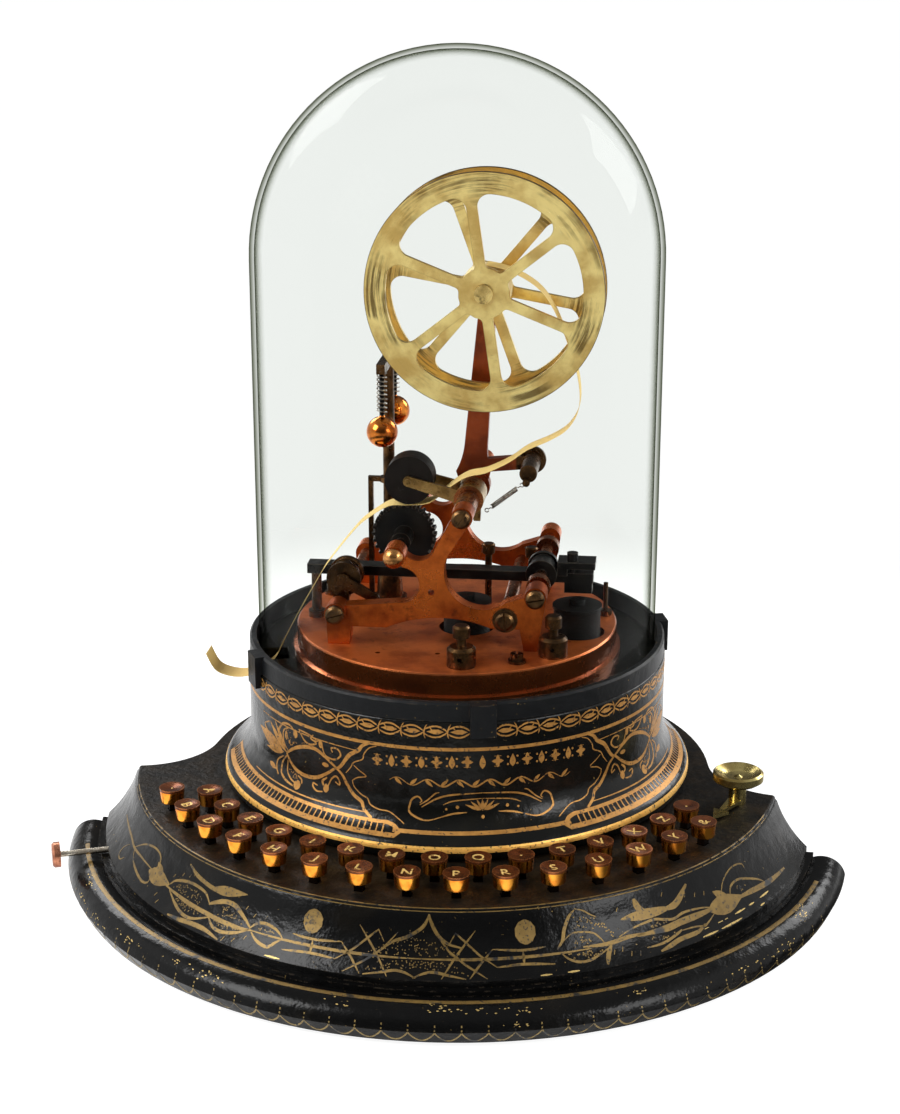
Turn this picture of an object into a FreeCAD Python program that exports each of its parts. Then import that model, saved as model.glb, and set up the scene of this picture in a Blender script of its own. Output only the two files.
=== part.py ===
import FreeCAD, Part
import math
import os
import re

import Sketcher
from FreeCAD import Placement, Rotation, Vector

# A stock ticker under a glass dome, with the sender's keyboard round its front.
# The origin is on the axis of the round tower, on the surface that the feet stand on.
# +Z is up and the keys look along -Y. Angles round the tower are counted from -Y towards +X.
# Lengths are in millimetres and angles in degrees.

doc = FreeCAD.newDocument("StockTicker")
sheet = doc.addObject("Spreadsheet::Sheet", "Sizes")

SIZES = [
    # what the making of every piece uses
    ("overcut", 1.0, "how far a cutter stands past what it cuts"),
    ("through", 200.0, "length of bores that pass right through the mechanism"),
    ("root", 1.0, "how far a pin or boss is let into what carries it"),
    # keyboard base: a japanned casting whose moulded front swings round the tower
    ("foot_height", 3.0, "clear height under the base"),
    ("deck_height", 51.3, "top of the deck above the floor"),
    ("deck_margin", 13.3, "edge of the deck beyond the outer row of keys"),
    ("back_margin", 25.0, "plain wall round the back, beyond the tower's wall"),
    ("end_line", 22.8, "flat ends of the moulding, in front of the tower axis"),
    ("flank_radius", 39.8, "hollow sweep between moulding and back wall"),
    ("casting_wall", 5.0, "walls and deck of the base"),
    ("rim_round", 1.8, "rounded edge of the deck"),
    ("cove_spread", 17.0, "foot of the cove beyond the deck edge"),
    ("cove_foot", 24.0, "height of the foot of the cove"),
    ("cove_round", 64.0, "radius of the hollow of the cove"),
    ("lip_spread", 20.5, "lip beyond the deck edge"),
    ("lip_height", 18.4, "underside of the lip"),
    ("lip_depth", 2.6, "height of the lip"),
    ("torus_spread", 37.0, "widest line of the foot moulding beyond the deck edge"),
    ("torus_height", 9.5, "height of that widest line"),
    ("torus_round", 12.5, "radius of the foot moulding"),
    ("base_spread", 34.0, "foot of the casting beyond the deck edge"),
    ("skirt_sweep", 150.0, "how far the skirt is hollow behind the moulding"),
    ("hollow_step", 6.0, "hollow skirt inside the wall of the deck"),
    ("hollow_drop", 8.0, "top of the hollow under the deck"),
    ("board_thick", 3.2, "board that closes the underside"),
    ("seat_gap", 0.3, "gap round pieces that drop into a seat"),
    ("cable_bore", 10.0, "radius of the line cable's hole in the board"),
    ("foot_radius", 9.0, "feet"),
    ("front_foot_out", 15.0, "front feet outside the deck's edge"),
    ("front_foot_angle", 48.0, "front feet either side of the middle"),
    ("back_foot_in", 20.0, "back feet inside the back wall"),
    ("back_foot_angle", 138.0, "back feet either side of the middle"),
    # keys: two staggered rows on arcs round the tower
    ("key_count", 30.0, "keys in both rows"),
    ("first_key_angle", -61.3, "leftmost key"),
    ("key_pitch", 4.23, "from one key to the next, rows taken in turn"),
    ("row_step", 16.3, "from the inner row of keys to the outer one"),
    ("inner_margin", 20.3, "inner row of keys beyond the tower's foot"),
    ("cap_radius", 6.3, "key cap at its rim"),
    ("cap_foot_radius", 5.7, "key cap at its foot"),
    ("cap_tall", 7.2, "key cap"),
    ("cap_dish", 0.8, "depth of the hollow in the cap"),
    ("cap_rim", 0.7, "width of the cap's rim"),
    ("key_travel", 2.5, "how far a key goes down"),
    ("key_clear", 2.3, "between a pressed cap and the deck"),
    ("stem_width", 4.0, "square stem of a key"),
    ("stem_clear", 0.3, "gap each side of the stem in its holes"),
    ("guide_top", 26.0, "top of the guide channel above the floor"),
    ("guide_thick", 3.0, "guide channel"),
    ("guide_margin", 6.0, "channel beyond the two rows"),
    ("guide_slack", 1.0, "channel short of the wall of the base"),
    ("stem_below", 7.0, "stem that stands out under the channel's web"),
    # selector knob and pull rod
    ("selector_inset", 17.3, "selector inside the deck's edge"),
    ("selector_angle", 77.25, "selector round the tower"),
    ("selector_rest", 76.25, "where the pointer looks, beyond the line to the tower"),
    ("dish_radius", 12.65, "knob"),
    ("dish_height", 17.2, "top rim of the knob above the deck"),
    ("dish_tall", 6.0, "knob"),
    ("dish_under", 2.5, "knob narrower at its foot"),
    ("dish_flank", 1.8, "height of the sloping foot of the knob"),
    ("dish_edge", 0.8, "soft edge of the knob"),
    ("dish_lip", 1.2, "width of that edge"),
    ("dish_slope", 2.6, "hollow half way in"),
    ("dish_well", 3.2, "hollow beside its centre point"),
    ("dish_point", 2.2, "radius of the centre point"),
    ("dish_point_drop", 1.6, "centre point under the rim"),
    ("stalk_below", 6.0, "stalk under the deck"),
    ("stalk_radius", 4.4, "stalk of the knob"),
    ("stalk_clear", 0.08, "running fit of the stalk"),
    ("pointer_reach", 27.0, "tip of the pointer from the stalk's axis"),
    ("pointer_width", 7.0, "pointer at its root"),
    ("pointer_thick", 1.6, "pointer"),
    ("pointer_lift", 1.2, "pointer above the deck"),
    ("pointer_head", 9.0, "length of the pointer's head"),
    ("pointer_neck", 1.2, "half width of the pointer's neck"),
    ("pointer_barb", 4.2, "half width of the pointer's head"),
    ("rod_angle", -69.2, "pull rod round the tower"),
    ("rod_height", 23.0, "axis of the pull rod"),
    ("rod_radius", 1.5, "pull rod"),
    ("rod_clear", 0.06, "running fit of the rod"),
    ("rod_inset", 17.0, "inner end of the rod inside the deck's edge"),
    ("rod_stand", 4.0, "the rod's head outside the foot moulding"),
    ("rod_head", 6.5, "radius of the rod's head"),
    ("rod_head_thick", 4.0, "the rod's head"),
    ("rod_head_edge", 1.0, "bevel of the rod's head"),
    # tower and dome
    ("drum_margin", 0.5, "wall of the tower outside the dome ring"),
    ("drum_tall", 66.7, "top of the tower above the deck"),
    ("drum_wall", 4.0, "wall and top of the tower"),
    ("shoulder_round", 1.5, "rounded top corner of the tower"),
    ("flare_reach", 28.7, "where the wall starts to flare, above the deck"),
    ("flare_spread", 10.8, "foot of the flare beyond the wall"),
    ("flare_rise", 10.7, "foot of the flare above the deck"),
    ("flare_round", 22.0, "radius of the flare"),
    ("flange_spread", 10.1, "rounded foot of the tower beyond its wall, where it stands on the deck"),
    ("flange_round", 5.9, "radius of that foot"),
    ("well_inset", 22.0, "hole in the tower's top inside the edge of the bed plate"),
    ("chute_angle", -75.0, "where the tape leaves"),
    ("chute_width", 17.0, "slot for the tape"),
    ("chute_deep", 12.0, "bottom of the slot under the tower's top"),
    ("chute_long", 20.0, "slot for the tape, inwards from the tower's wall"),
    ("ring_slack", 1.5, "room round the glass in its ring"),
    ("ring_wall", 3.5, "wall of the dome ring"),
    ("ring_tall", 9.3, "top of the dome ring above the tower's top"),
    ("ring_edge", 1.0, "bevel of the dome ring"),
    ("tab_width", 12.4, "lugs of the ring"),
    ("tab_reach", 3.2, "lugs beyond the tower's wall"),
    ("tab_drop", 7.0, "foot of the lugs under the tower's top"),
    ("tab_front", 13.0, "front lug"),
    ("tab_left", -62.0, "left lug"),
    ("tab_right", 105.0, "right lug"),
    ("tab_back", -158.0, "back lug"),
    ("dome_radius", 101.5, "outside of the glass"),
    ("glass_wall", 2.5, "glass"),
    ("dome_seat", 0.3, "under the edge of the glass"),
    ("dome_tall", 303.0, "crown of the glass above the tower's top"),
    # bed plate and what stands on it
    ("plate_inset", 19.5, "edge of the bed plate inside the outside of the glass"),
    ("plate_lip", 2.0, "lip round the plate's foot"),
    ("plate_lip_tall", 3.0, "height of that lip"),
    ("plate_tall", 14.6, "thickness of the bed plate"),
    ("plate_edge", 0.8, "chamfer of the plate's edge"),
    ("pin_hole", 1.3, "small holes in the plate"),
    ("pin_hole_deep", 3.0, "small holes in the plate"),
    ("pin_left_x", -33.0, "left hole"),
    ("pin_left_y", -55.9, "left hole"),
    ("pin_right_x", -3.5, "right hole"),
    ("pin_right_y", -54.0, "right hole"),
    ("coil_radius", 12.5, "magnet coils"),
    ("coil_gap", 1.6, "hole round each coil"),
    ("coil_sink", 8.0, "how far a coil drops into the plate"),
    ("coil_tall", 22.4, "coils"),
    ("coil_cheek", 1.6, "cheeks of the coils"),
    ("coil_wind", 0.7, "winding inside its cheeks"),
    ("core_radius", 4.0, "iron cores"),
    ("core_rise", 3.0, "core above the coil"),
    ("coil_right_x", 62.5, "right coil"),
    ("coil_right_y", -13.5, "right coil"),
    ("coil_left_x", 6.5, "left coil"),
    ("coil_left_y", -12.7, "left coil"),
    ("post_left_x", 9.9, "left binding post"),
    ("post_left_y", -68.8, "left binding post"),
    ("post_right_x", 53.0, "right binding post"),
    ("post_right_y", -49.6, "right binding post"),
    ("post_radius", 7.15, "collar of a binding post"),
    ("post_tall", 10.0, "collar of a binding post"),
    ("post_bevel", 1.4, "bevel of the collar"),
    ("post_hole", 1.1, "radius of the wire hole"),
    ("nut_radius", 4.2, "clamp nut of a binding post"),
    ("nut_tall", 7.0, "clamp nut"),
    ("nut_bevel", 1.0, "bevels of the clamp nut"),
    ("neck_radius", 2.4, "neck under the clamp nut"),
    ("neck_tall", 3.6, "neck under the clamp nut"),
    ("cap_nut_x", 36.2, "flanged nut before the frame"),
    ("cap_nut_y", -61.6, "flanged nut before the frame"),
    ("cap_nut_foot", 4.4, "its flange"),
    ("cap_nut_step", 1.4, "its flange"),
    ("cap_nut_radius", 3.2, "its body"),
    ("cap_nut_tall", 4.6, "its height"),
    ("gauge_x", 75.6, "brass gauge rod at the right"),
    ("gauge_y", 13.4, "brass gauge rod at the right"),
    ("gauge_foot", 3.4, "its nut"),
    ("gauge_foot_tall", 2.6, "its nut"),
    ("gauge_radius", 1.2, "the rod"),
    ("gauge_tall", 17.4, "the rod"),
    ("lock_x", -70.0, "lock nut at the left"),
    ("lock_y", 31.0, "lock nut at the left"),
    ("lock_foot", 4.2, "its washer"),
    ("lock_step", 1.2, "its washer"),
    ("lock_radius", 3.1, "its body"),
    ("lock_tall", 5.2, "its body"),
    ("lock_stud", 1.3, "the stud through it"),
    ("lock_stud_tall", 8.4, "the stud through it"),
    ("contact_radius", 1.8, "pillars of the contact screws"),
    ("contact_foot", 3.6, "nut at their foot"),
    ("contact_foot_tall", 3.0, "nut at their foot"),
    ("contact_head", 3.4, "their milled heads"),
    ("contact_head_tall", 5.6, "their milled heads"),
    ("contact_edge", 0.7, "bevel of the heads"),
    ("contact_left_x", 15.3, "left contact screw"),
    ("contact_left_y", 8.8, "left contact screw"),
    ("contact_left_up", 32.4, "under its head, above the bed plate"),
    ("contact_right_x", 36.6, "right contact screw"),
    ("contact_right_y", 20.0, "right contact screw"),
    ("contact_right_up", 27.6, "under its head, above the bed plate"),
    # frames: two castings with rods between them
    ("front_face", -46.0, "front face of the front frame"),
    ("frame_thick", 8.0, "front frame"),
    ("rear_face", 50.0, "front face of the rear frame"),
    ("rear_thick", 7.0, "rear frame"),
    ("foot_left_x", -59.4, "outer edge of the left foot"),
    ("foot_right_x", 44.8, "outer edge of the right foot"),
    ("foot_wide", 10.8, "left foot"),
    ("foot_narrow", 6.6, "right foot"),
    ("foot_taper", 1.2, "left foot wider at the beam"),
    ("foot_taper_right", 2.0, "right foot wider at the beam"),
    ("left_rod_x", -55.0, "left rod"),
    ("left_rod_up", 17.0, "left rod, above the bed plate"),
    ("left_rod_radius", 2.8, "left rod"),
    ("top_rod_x", 7.7, "top rod"),
    ("top_rod_up", 68.4, "top rod, above the bed plate"),
    ("top_rod_radius", 5.3, "top rod"),
    ("low_rod_x", 28.9, "right rod"),
    ("low_rod_up", 15.8, "right rod, above the bed plate"),
    ("low_rod_radius", 3.4, "right rod"),
    ("shaft_x", 44.0, "shaft of the armature"),
    ("shaft_up", 28.9, "shaft of the armature, above the bed plate"),
    ("shaft_radius", 3.0, "shaft of the armature"),
    ("collar_radius", 6.0, "collars that are pinned on the shaft"),
    ("collar_long", 6.0, "collars that are pinned on the shaft"),
    ("collar_front", -34.0, "front collar"),
    ("collar_back", 30.0, "back collar"),
    ("wheel_x", -25.5, "axis of the type wheel"),
    ("wheel_up", 47.4, "axis of the type wheel, above the bed plate"),
    ("boss_radius", 5.4, "bosses of the frames"),
    ("boss_rise", 4.0, "bosses in front of the frame"),
    ("beam_up", 9.6, "underside of the beam at the left, above the bed plate"),
    ("beam_up_right", 11.2, "underside of the beam at the right, above the bed plate"),
    ("arch_round", 66.0, "arch under the beam"),
    ("arch_left", 25.0, "arch right of the left rod"),
    ("arch_right", 7.0, "arch left of the right rod"),
    ("eye_x", 17.5, "right opening"),
    ("eye_up", 39.4, "right opening, above the bed plate"),
    ("eye_radius", 18.7, "right opening"),
    ("notch_x", -14.0, "upper opening"),
    ("notch_up", 53.4, "upper opening, above the bed plate"),
    ("notch_radius", 8.5, "upper opening"),
    ("gap_x", -22.6, "left opening"),
    ("gap_up", 32.0, "left opening, above the bed plate"),
    ("gap_radius", 9.2, "left opening"),
    ("oil_hole", 1.5, "small hole in the neck of the front frame"),
    ("oil_x", -7.6, "that hole"),
    ("oil_up", 28.9, "that hole, above the bed plate"),
    ("screw_head", 4.6, "screw heads"),
    ("screw_head_tall", 2.6, "screw heads"),
    ("head_bevel", 1.2, "bevel of the screw heads"),
    ("head_crown", 0.9, "crown of the screw heads"),
    ("slot_depth", 1.4, "screw slots"),
    ("slot_width", 1.0, "screw slots"),
    ("washer_radius", 6.2, "washer of the right rod"),
    ("washer_thick", 0.8, "that washer"),
    ("ball_head", 4.9, "ball head on the type shaft"),
    ("ball_head_foot", 2.4, "straight foot of the ball head"),
    ("ball_head_tall", 5.0, "ball head"),
    ("ball_head_round", 5.9, "crown of the ball head"),
    # tape, reel and its post
    ("tape_middle", -9.5, "middle of the tape, before the tower axis"),
    ("tape_width", 12.7, "half-inch tape"),
    ("tape_thick", 0.3, "tape"),
    ("reel_x", 15.0, "axis of the reel"),
    ("reel_up", 172.4, "axis of the reel, above the bed plate"),
    ("reel_radius", 58.5, "reel"),
    ("reel_rim", 10.5, "rim of a flange"),
    ("reel_hub", 11.0, "hub of a flange"),
    ("reel_slack", 2.3, "room beside the tape in the reel"),
    ("flange_thick", 2.5, "flanges of the reel"),
    ("spoke_width", 5.2, "spokes"),
    ("spoke_turn", 38.3, "first spoke of the front flange above +X"),
    ("spoke_lag", 11.7, "how far the back flange is turned on"),
    ("window_round", 6.0, "outer corners of the windows"),
    ("window_root", 2.5, "inner corners of the windows"),
    ("roll_radius", 12.5, "what is left of the roll"),
    ("axle_radius", 3.0, "axle of the reel"),
    ("axle_clear", 0.05, "running fits on axles"),
    ("axle_collar", 2.0, "collar on the axle beyond its radius"),
    ("axle_stand", 1.5, "axle in front of the reel"),
    ("axle_cap", 1.6, "axle's cap beyond its radius"),
    ("axle_cap_thick", 1.8, "axle's cap"),
    ("post_back", 13.0, "back face of the reel's post"),
    ("post_thick", 5.0, "the reel's post"),
    ("post_collar", 8.2, "eye of the post round the top rod"),
    ("post_flare", 8.4, "half width of the post above its eye"),
    ("post_waist", 5.8, "half width of the post over the flare"),
    ("post_tip", 4.0, "half width of the post at the reel"),
    ("post_shoulder", 7.5, "the post's shoulder above the top rod"),
    ("post_left_rise", 9.0, "the post's left sweep above the top rod"),
    ("post_waist_rise", 22.0, "the post's waist above the top rod"),
    ("post_sweep", 40.0, "hollow sweeps of the post"),
    ("post_lean", 1.0, "waist of the post right of the rod"),
    ("post_step", 0.8, "step of the left shoulder"),
    ("eye_proud", 1.0, "eye of the post proud of its faces"),
    ("arm_end_x", 37.0, "boss of the guide arm"),
    ("arm_end_up", 81.7, "boss of the guide arm, above the bed plate"),
    ("arm_front", -14.0, "front end of that boss"),
    ("hook_radius", 1.9, "hook under the boss"),
    ("arm_boss", 4.4, "boss of the guide arm"),
    ("arm_depth", 3.4, "half height of the guide arm"),
    ("arm_drop", 3.0, "guide arm's root below its boss"),
    ("spool_radius", 7.0, "cheek of the tape guide"),
    ("cheek_thick", 2.5, "cheek of the tape guide"),
    ("cheek_back", 1.5, "cheek behind the post"),
    ("hook_side", 0.8, "hook left of the boss"),
    ("hook_bite", 0.4, "hook let into the boss"),
    ("hook_root", 3.0, "hook behind the end of the boss"),
    ("hook_long", 6.0, "hook"),
    # ink roller and type wheel
    ("roller_x", -22.5, "axis of the ink roller"),
    ("nip_gap", 1.0, "between type wheel and ink roller"),
    ("roller_radius", 12.3, "ink roller"),
    ("roller_bore", 1.6, "pin of the ink roller"),
    ("arm_bar", 2.6, "half height of the ink arm at the pin"),
    ("arm_root", 3.6, "half height of the ink arm at its eye"),
    ("arm_thick", 1.8, "bars of the ink arm"),
    ("arm_eye", 7.6, "eye of the ink arm round the top rod"),
    ("arm_side", 0.6, "between roller and bars"),
    ("type_radius", 16.2, "type wheel over its types"),
    ("type_height", 1.4, "height of a type"),
    ("type_count", 28.0, "types on the wheel"),
    ("type_width", 6.0, "type wheel"),
    ("type_shaft", 2.4, "shaft of the type wheel"),
    ("type_hub", 5.0, "hub of the type wheel"),
    ("type_hub_back", 3.0, "hub behind the wheel"),
    ("type_hub_front", 13.0, "hub before the wheel"),
    ("type_root", 1.1, "half width of a type at its foot"),
    ("type_face", 0.7, "half width of a type at its face"),
    ("shaft_end", 2.0, "type shaft behind its rear boss"),
    # governor
    ("spindle_x", -38.5, "governor spindle"),
    ("spindle_y", 26.0, "governor spindle"),
    ("spindle_radius", 3.0, "governor spindle"),
    ("spindle_foot_up", 4.4, "foot of the spindle above the bed plate"),
    ("ball_radius", 8.0, "governor balls"),
    ("ball_spread", 22.5, "balls from the spindle's axis"),
    ("ball_hang", 32.8, "centre of the balls under the middle of the crossbar"),
    ("cross_up", 129.4, "middle of the crossbar above the bed plate"),
    ("cross_depth", 5.0, "height of the crossbar"),
    ("cross_width", 4.4, "width of the crossbar"),
    ("cross_end", 1.0, "crossbar beyond the springs"),
    ("hanger_radius", 1.2, "rods that carry the balls"),
    ("spring_radius", 2.7, "springs round those rods"),
    ("spring_length", 20.0, "springs round those rods"),
    ("step_radius", 7.0, "footstep bearing"),
    ("step_tall", 17.4, "footstep bearing"),
    ("step_flange", 2.0, "flange of the footstep bearing"),
    ("step_taper", 1.0, "taper of the footstep bearing"),
    ("steady_x", -48.0, "steady rod beside the spindle"),
    ("steady_tall", 66.9, "steady rod above the bed plate"),
    ("steady_width", 2.6, "steady rod"),
    ("steady_wall", 1.8, "wall of the steady rod's eye"),
    # armature, stop pillar, feed roller and spring
    ("bar_left", -76.0, "left end of the armature bar"),
    ("bar_right", 70.0, "right end of the armature bar"),
    ("bar_middle", -5.0, "middle of the bar, before the tower axis"),
    ("bar_width", 9.0, "armature bar"),
    ("bar_depth", 5.0, "armature bar"),
    ("bar_low", 2.2, "bar's middle under the shaft's axis"),
    ("hub_radius", 6.6, "hub of the armature"),
    ("hub_long", 17.0, "hub of the armature"),
    ("hub_flange", 7.8, "collars at the ends of the hub"),
    ("hub_flange_long", 2.6, "collars at the ends of the hub"),
    ("block_left", 8.0, "bridge on the bar, from the shaft to its left end"),
    ("block_right", 27.0, "right end of the bridge"),
    ("block_riser", 5.0, "its foot"),
    ("block_low", 3.0, "underside of the bridge, above the shaft"),
    ("block_top", 6.4, "its top"),
    ("block_width", 13.0, "its width"),
    ("thumb_x", 15.4, "adjusting screw in the bridge"),
    ("thumb_y", -8.0, "adjusting screw in the bridge"),
    ("thumb_shank", 1.4, "its thread"),
    ("thumb_radius", 2.8, "its head"),
    ("thumb_tall", 4.6, "its head"),
    ("stop_gap", 0.3, "between the bar and its stop pillar"),
    ("stop_radius", 2.6, "stop pillar"),
    ("stop_foot", 4.4, "its foot nut"),
    ("stop_foot_tall", 3.4, "its foot nut"),
    ("feed_x", -53.6, "axis of the feed roller"),
    ("feed_gap", 0.5, "between the left rod and the feed roller"),
    ("feed_radius", 8.7, "feed roller"),
    ("feed_width", 12.0, "feed roller"),
    ("feed_middle", -25.0, "middle of the feed roller, before the tower axis"),
    ("feed_pin", 2.0, "pin of the feed roller"),
    ("feed_arm_thick", 2.4, "arm that holds the feed roller"),
    ("feed_cheek", 2.0, "cheeks of the feed roller"),
    ("feed_groove", 1.0, "its tread inside the cheeks"),
    ("feed_lever_x", 15.6, "end of the release lever from the pin"),
    ("feed_lever_z", -8.6, "end of the release lever from the pin"),
    ("feed_lever_end", 2.6, "its rounded end"),
    ("feed_screw", 2.0, "screw in its end"),
    ("feed_screw_tall", 1.2, "screw in its end"),
    ("feed_arm_wall", 1.4, "arm beyond the pin"),
    ("clamp_wall", 1.6, "clamp round the left rod"),
    ("stop_x", -72.0, "stop pillar"),
    ("keeper_drop", 5.4, "iron keeper under the bar"),
    ("keeper_half", 7.0, "half length of the keeper"),
    ("pull_radius", 1.3, "tension spring"),
    ("pull_length", 24.0, "tension spring"),
    ("pull_slope", 232.0, "the way it pulls, from straight up over to +X"),
    ("tail_reach", 10.6, "tail of the ink arm below the top rod's axis"),
    ("tail_side", 4.0, "tail of the ink arm beside that axis"),
    ("tail_half", 1.6, "half width of the tail"),
    ("tail_end", 1.0, "tail below the hole of the spring"),
    ("tail_thick", 3.0, "tail of the ink arm"),
    ("tail_sink", 2.0, "tail behind the spring"),
    ("spring_off", 0.4, "spring off its hook"),
]

for line, (alias, value, note) in enumerate(SIZES, start=1):
    sheet.set("A%d" % line, note)
    sheet.set("B%d" % line, repr(value))
    sheet.setAlias("B%d" % line, alias)
doc.recompute()

# Sizes and places that follow from the driving ones: rings outwards from the glass, heights up from the deck.
FOLLOWING = {
    "ring_inner": "(dome_radius + ring_slack)",
    "ring_outer": "(ring_inner + ring_wall)",
    "drum_radius": "(ring_outer + drum_margin)",
    "plate_radius": "(dome_radius - plate_inset)",
    "well_radius": "(plate_radius - well_inset)",
    "back_radius": "(drum_radius + back_margin)",
    "inner_row": "(drum_radius + flange_spread + inner_margin)",
    "outer_row": "(inner_row + row_step)",
    "deck_radius": "(outer_row + deck_margin)",
    "selector_ring": "(deck_radius - selector_inset)",
    "rod_inner": "(deck_radius - rod_inset)",
    "rod_outer": "(deck_radius + torus_spread + rod_stand)",
    "front_foot_ring": "(deck_radius + front_foot_out)",
    "back_foot_ring": "(back_radius - back_foot_in)",
    "chute_inner": "(drum_radius - chute_long)",
    "flare_foot": "(deck_height + flare_rise)",
    "flare_top": "(deck_height + flare_reach)",
    "drum_top": "(deck_height + drum_tall)",
    "chute_floor": "(drum_top - chute_deep)",
    "tab_foot": "(drum_top - tab_drop)",
    "ring_top": "(drum_top + ring_tall)",
    "plate_top": "(drum_top + plate_tall)",
    "dome_top": "(drum_top + dome_tall)",
    "left_rod_z": "(plate_top + left_rod_up)",
    "top_rod_z": "(plate_top + top_rod_up)",
    "low_rod_z": "(plate_top + low_rod_up)",
    "shaft_z": "(plate_top + shaft_up)",
    "wheel_z": "(plate_top + wheel_up)",
    "eye_z": "(plate_top + eye_up)",
    "notch_z": "(plate_top + notch_up)",
    "gap_z": "(plate_top + gap_up)",
    "oil_z": "(plate_top + oil_up)",
    "reel_z": "(plate_top + reel_up)",
    "arm_end_z": "(plate_top + arm_end_up)",
    "beam_low": "(plate_top + beam_up)",
    "beam_low_right": "(plate_top + beam_up_right)",
    "roller_z": "(wheel_z + type_radius + nip_gap + roller_radius)",
    "feed_z": "(left_rod_z + left_rod_radius + feed_gap + feed_radius)",
    "cross_height": "(plate_top + cross_up)",
    "spindle_top": "(cross_height)",
    "ball_height": "(cross_height - ball_hang)",
    "spindle_foot": "(plate_top + spindle_foot_up)",
    "step_top": "(plate_top + step_tall)",
    "steady_top": "(plate_top + steady_tall)",
    "reel_gap": "(tape_width + reel_slack)",
}

ALIASES = sorted((row[0] for row in SIZES), key=len, reverse=True)
ALIAS = re.compile(r"\b(" + "|".join(ALIASES) + r")\b")
FOLLOWER = re.compile(r"\b(" + "|".join(sorted(FOLLOWING, key=len, reverse=True)) + r")\b")


def spelled(text):
    """The formula in driving sizes alone."""
    while FOLLOWER.search(text):
        text = FOLLOWER.sub(lambda found: FOLLOWING[found.group(1)], text)
    return text


def formula(text):
    """The formula as the document reads it, with every size taken from the sheet."""
    return ALIAS.sub(r"Sizes.\1", spelled(str(text)))


def amount(text):
    """What a formula comes to now."""
    found = sheet.evalExpression(formula(text))
    return float(getattr(found, "Value", found))


def bind(thing, **settings):
    """Tie properties of a feature to formulas of the sheet."""
    for name, text in settings.items():
        thing.setExpression(name, formula(text))


def place(thing, at=("0", "0", "0"), axis=(0, 0, 1), turn="0"):
    """Put a piece at formulas of the sheet, turned about one axis."""
    thing.Placement = Placement(Vector(*map(amount, at)), Rotation(Vector(*axis), amount(turn)))
    for letter, text in zip("xyz", at):
        thing.setExpression("Placement.Base." + letter, formula(text))
    if ALIAS.search(spelled(str(turn))):
        thing.setExpression("Placement.Rotation.Angle", formula(turn))
    return thing


def body(label):
    made = doc.addObject("PartDesign::Body", label)
    made.Label = label
    return made


def plane(owner, role):
    return next(item for item in owner.Origin.OriginFeatures if item.Role == role)


def round_run(start, end, radius):
    """An arc from start to end; it bulges to the right of the way there, or to the left below zero."""
    middle = (start + end) * 0.5
    chord = end - start
    rise = math.sqrt(max(radius * radius - chord.Length ** 2 / 4, 0.0))
    side = Vector(-chord.y, chord.x, 0).normalize()
    centre = middle + side * math.copysign(rise, radius)
    first, last = (start, end) if radius > 0 else (end, start)
    angles = [math.atan2(point.y - centre.y, point.x - centre.x) for point in (first, last)]
    circle = Part.Circle(centre, Vector(0, 0, 1), abs(radius))
    return Part.ArcOfCircle(circle, *angles)


def outline(owner, name, role, corners, lift="0", turn="0", turn_axis=(0, 0, 1)):
    """A closed outline on one of the body's own planes.

    A corner is (across, up), or (across, up, radius) where a round run leads to it.
    """
    sketch = owner.newObject("Sketcher::SketchObject", name)
    sketch.AttachmentSupport = [(plane(owner, role), "")]
    sketch.MapMode = "FlatFace"
    points = [Vector(amount(corner[0]), amount(corner[1]), 0) for corner in corners]
    runs, ends = [], []
    for index, corner in enumerate(corners):
        start, end = points[index - 1], points[index]
        if len(corner) == 3:
            radius = amount(corner[2])
            runs.append(round_run(start, end, radius))
            ends.append((1, 2) if radius > 0 else (2, 1))
        else:
            runs.append(Part.LineSegment(start, end))
            ends.append((1, 2))
    sketch.addGeometry(runs, False)
    rules, bound = [], []
    for index, corner in enumerate(corners):
        after = (index + 1) % len(corners)
        rules.append(Sketcher.Constraint("Coincident", index, ends[index][1], after, ends[after][0]))
        for kind, axis_line, text in (("DistanceX", -2, corner[0]), ("DistanceY", -1, corner[1])):
            if text == "0":
                rules.append(Sketcher.Constraint("PointOnObject", index, ends[index][1], axis_line))
                continue
            rules.append(Sketcher.Constraint(kind, -1, 1, index, ends[index][1], amount(text)))
            bound.append((len(rules) - 1, text))
        if len(corner) == 3:
            rules.append(Sketcher.Constraint("Radius", index, abs(amount(corner[2]))))
            bound.append((len(rules) - 1, corner[2].lstrip("-")))
    sketch.addConstraint(rules)
    for number, text in bound:
        if ALIAS.search(spelled(text)):
            sketch.setExpression("Constraints[%d]" % number, formula(text))
    if lift != "0" or turn != "0":
        sketch.AttachmentOffset = Placement(Vector(0, 0, amount(lift)), Rotation(Vector(*turn_axis), amount(turn)))
        if lift != "0":
            sketch.setExpression("AttachmentOffset.Base.z", formula(lift))
        if turn != "0":
            sketch.setExpression("AttachmentOffset.Rotation.Angle", formula(turn))
    return sketch


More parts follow.
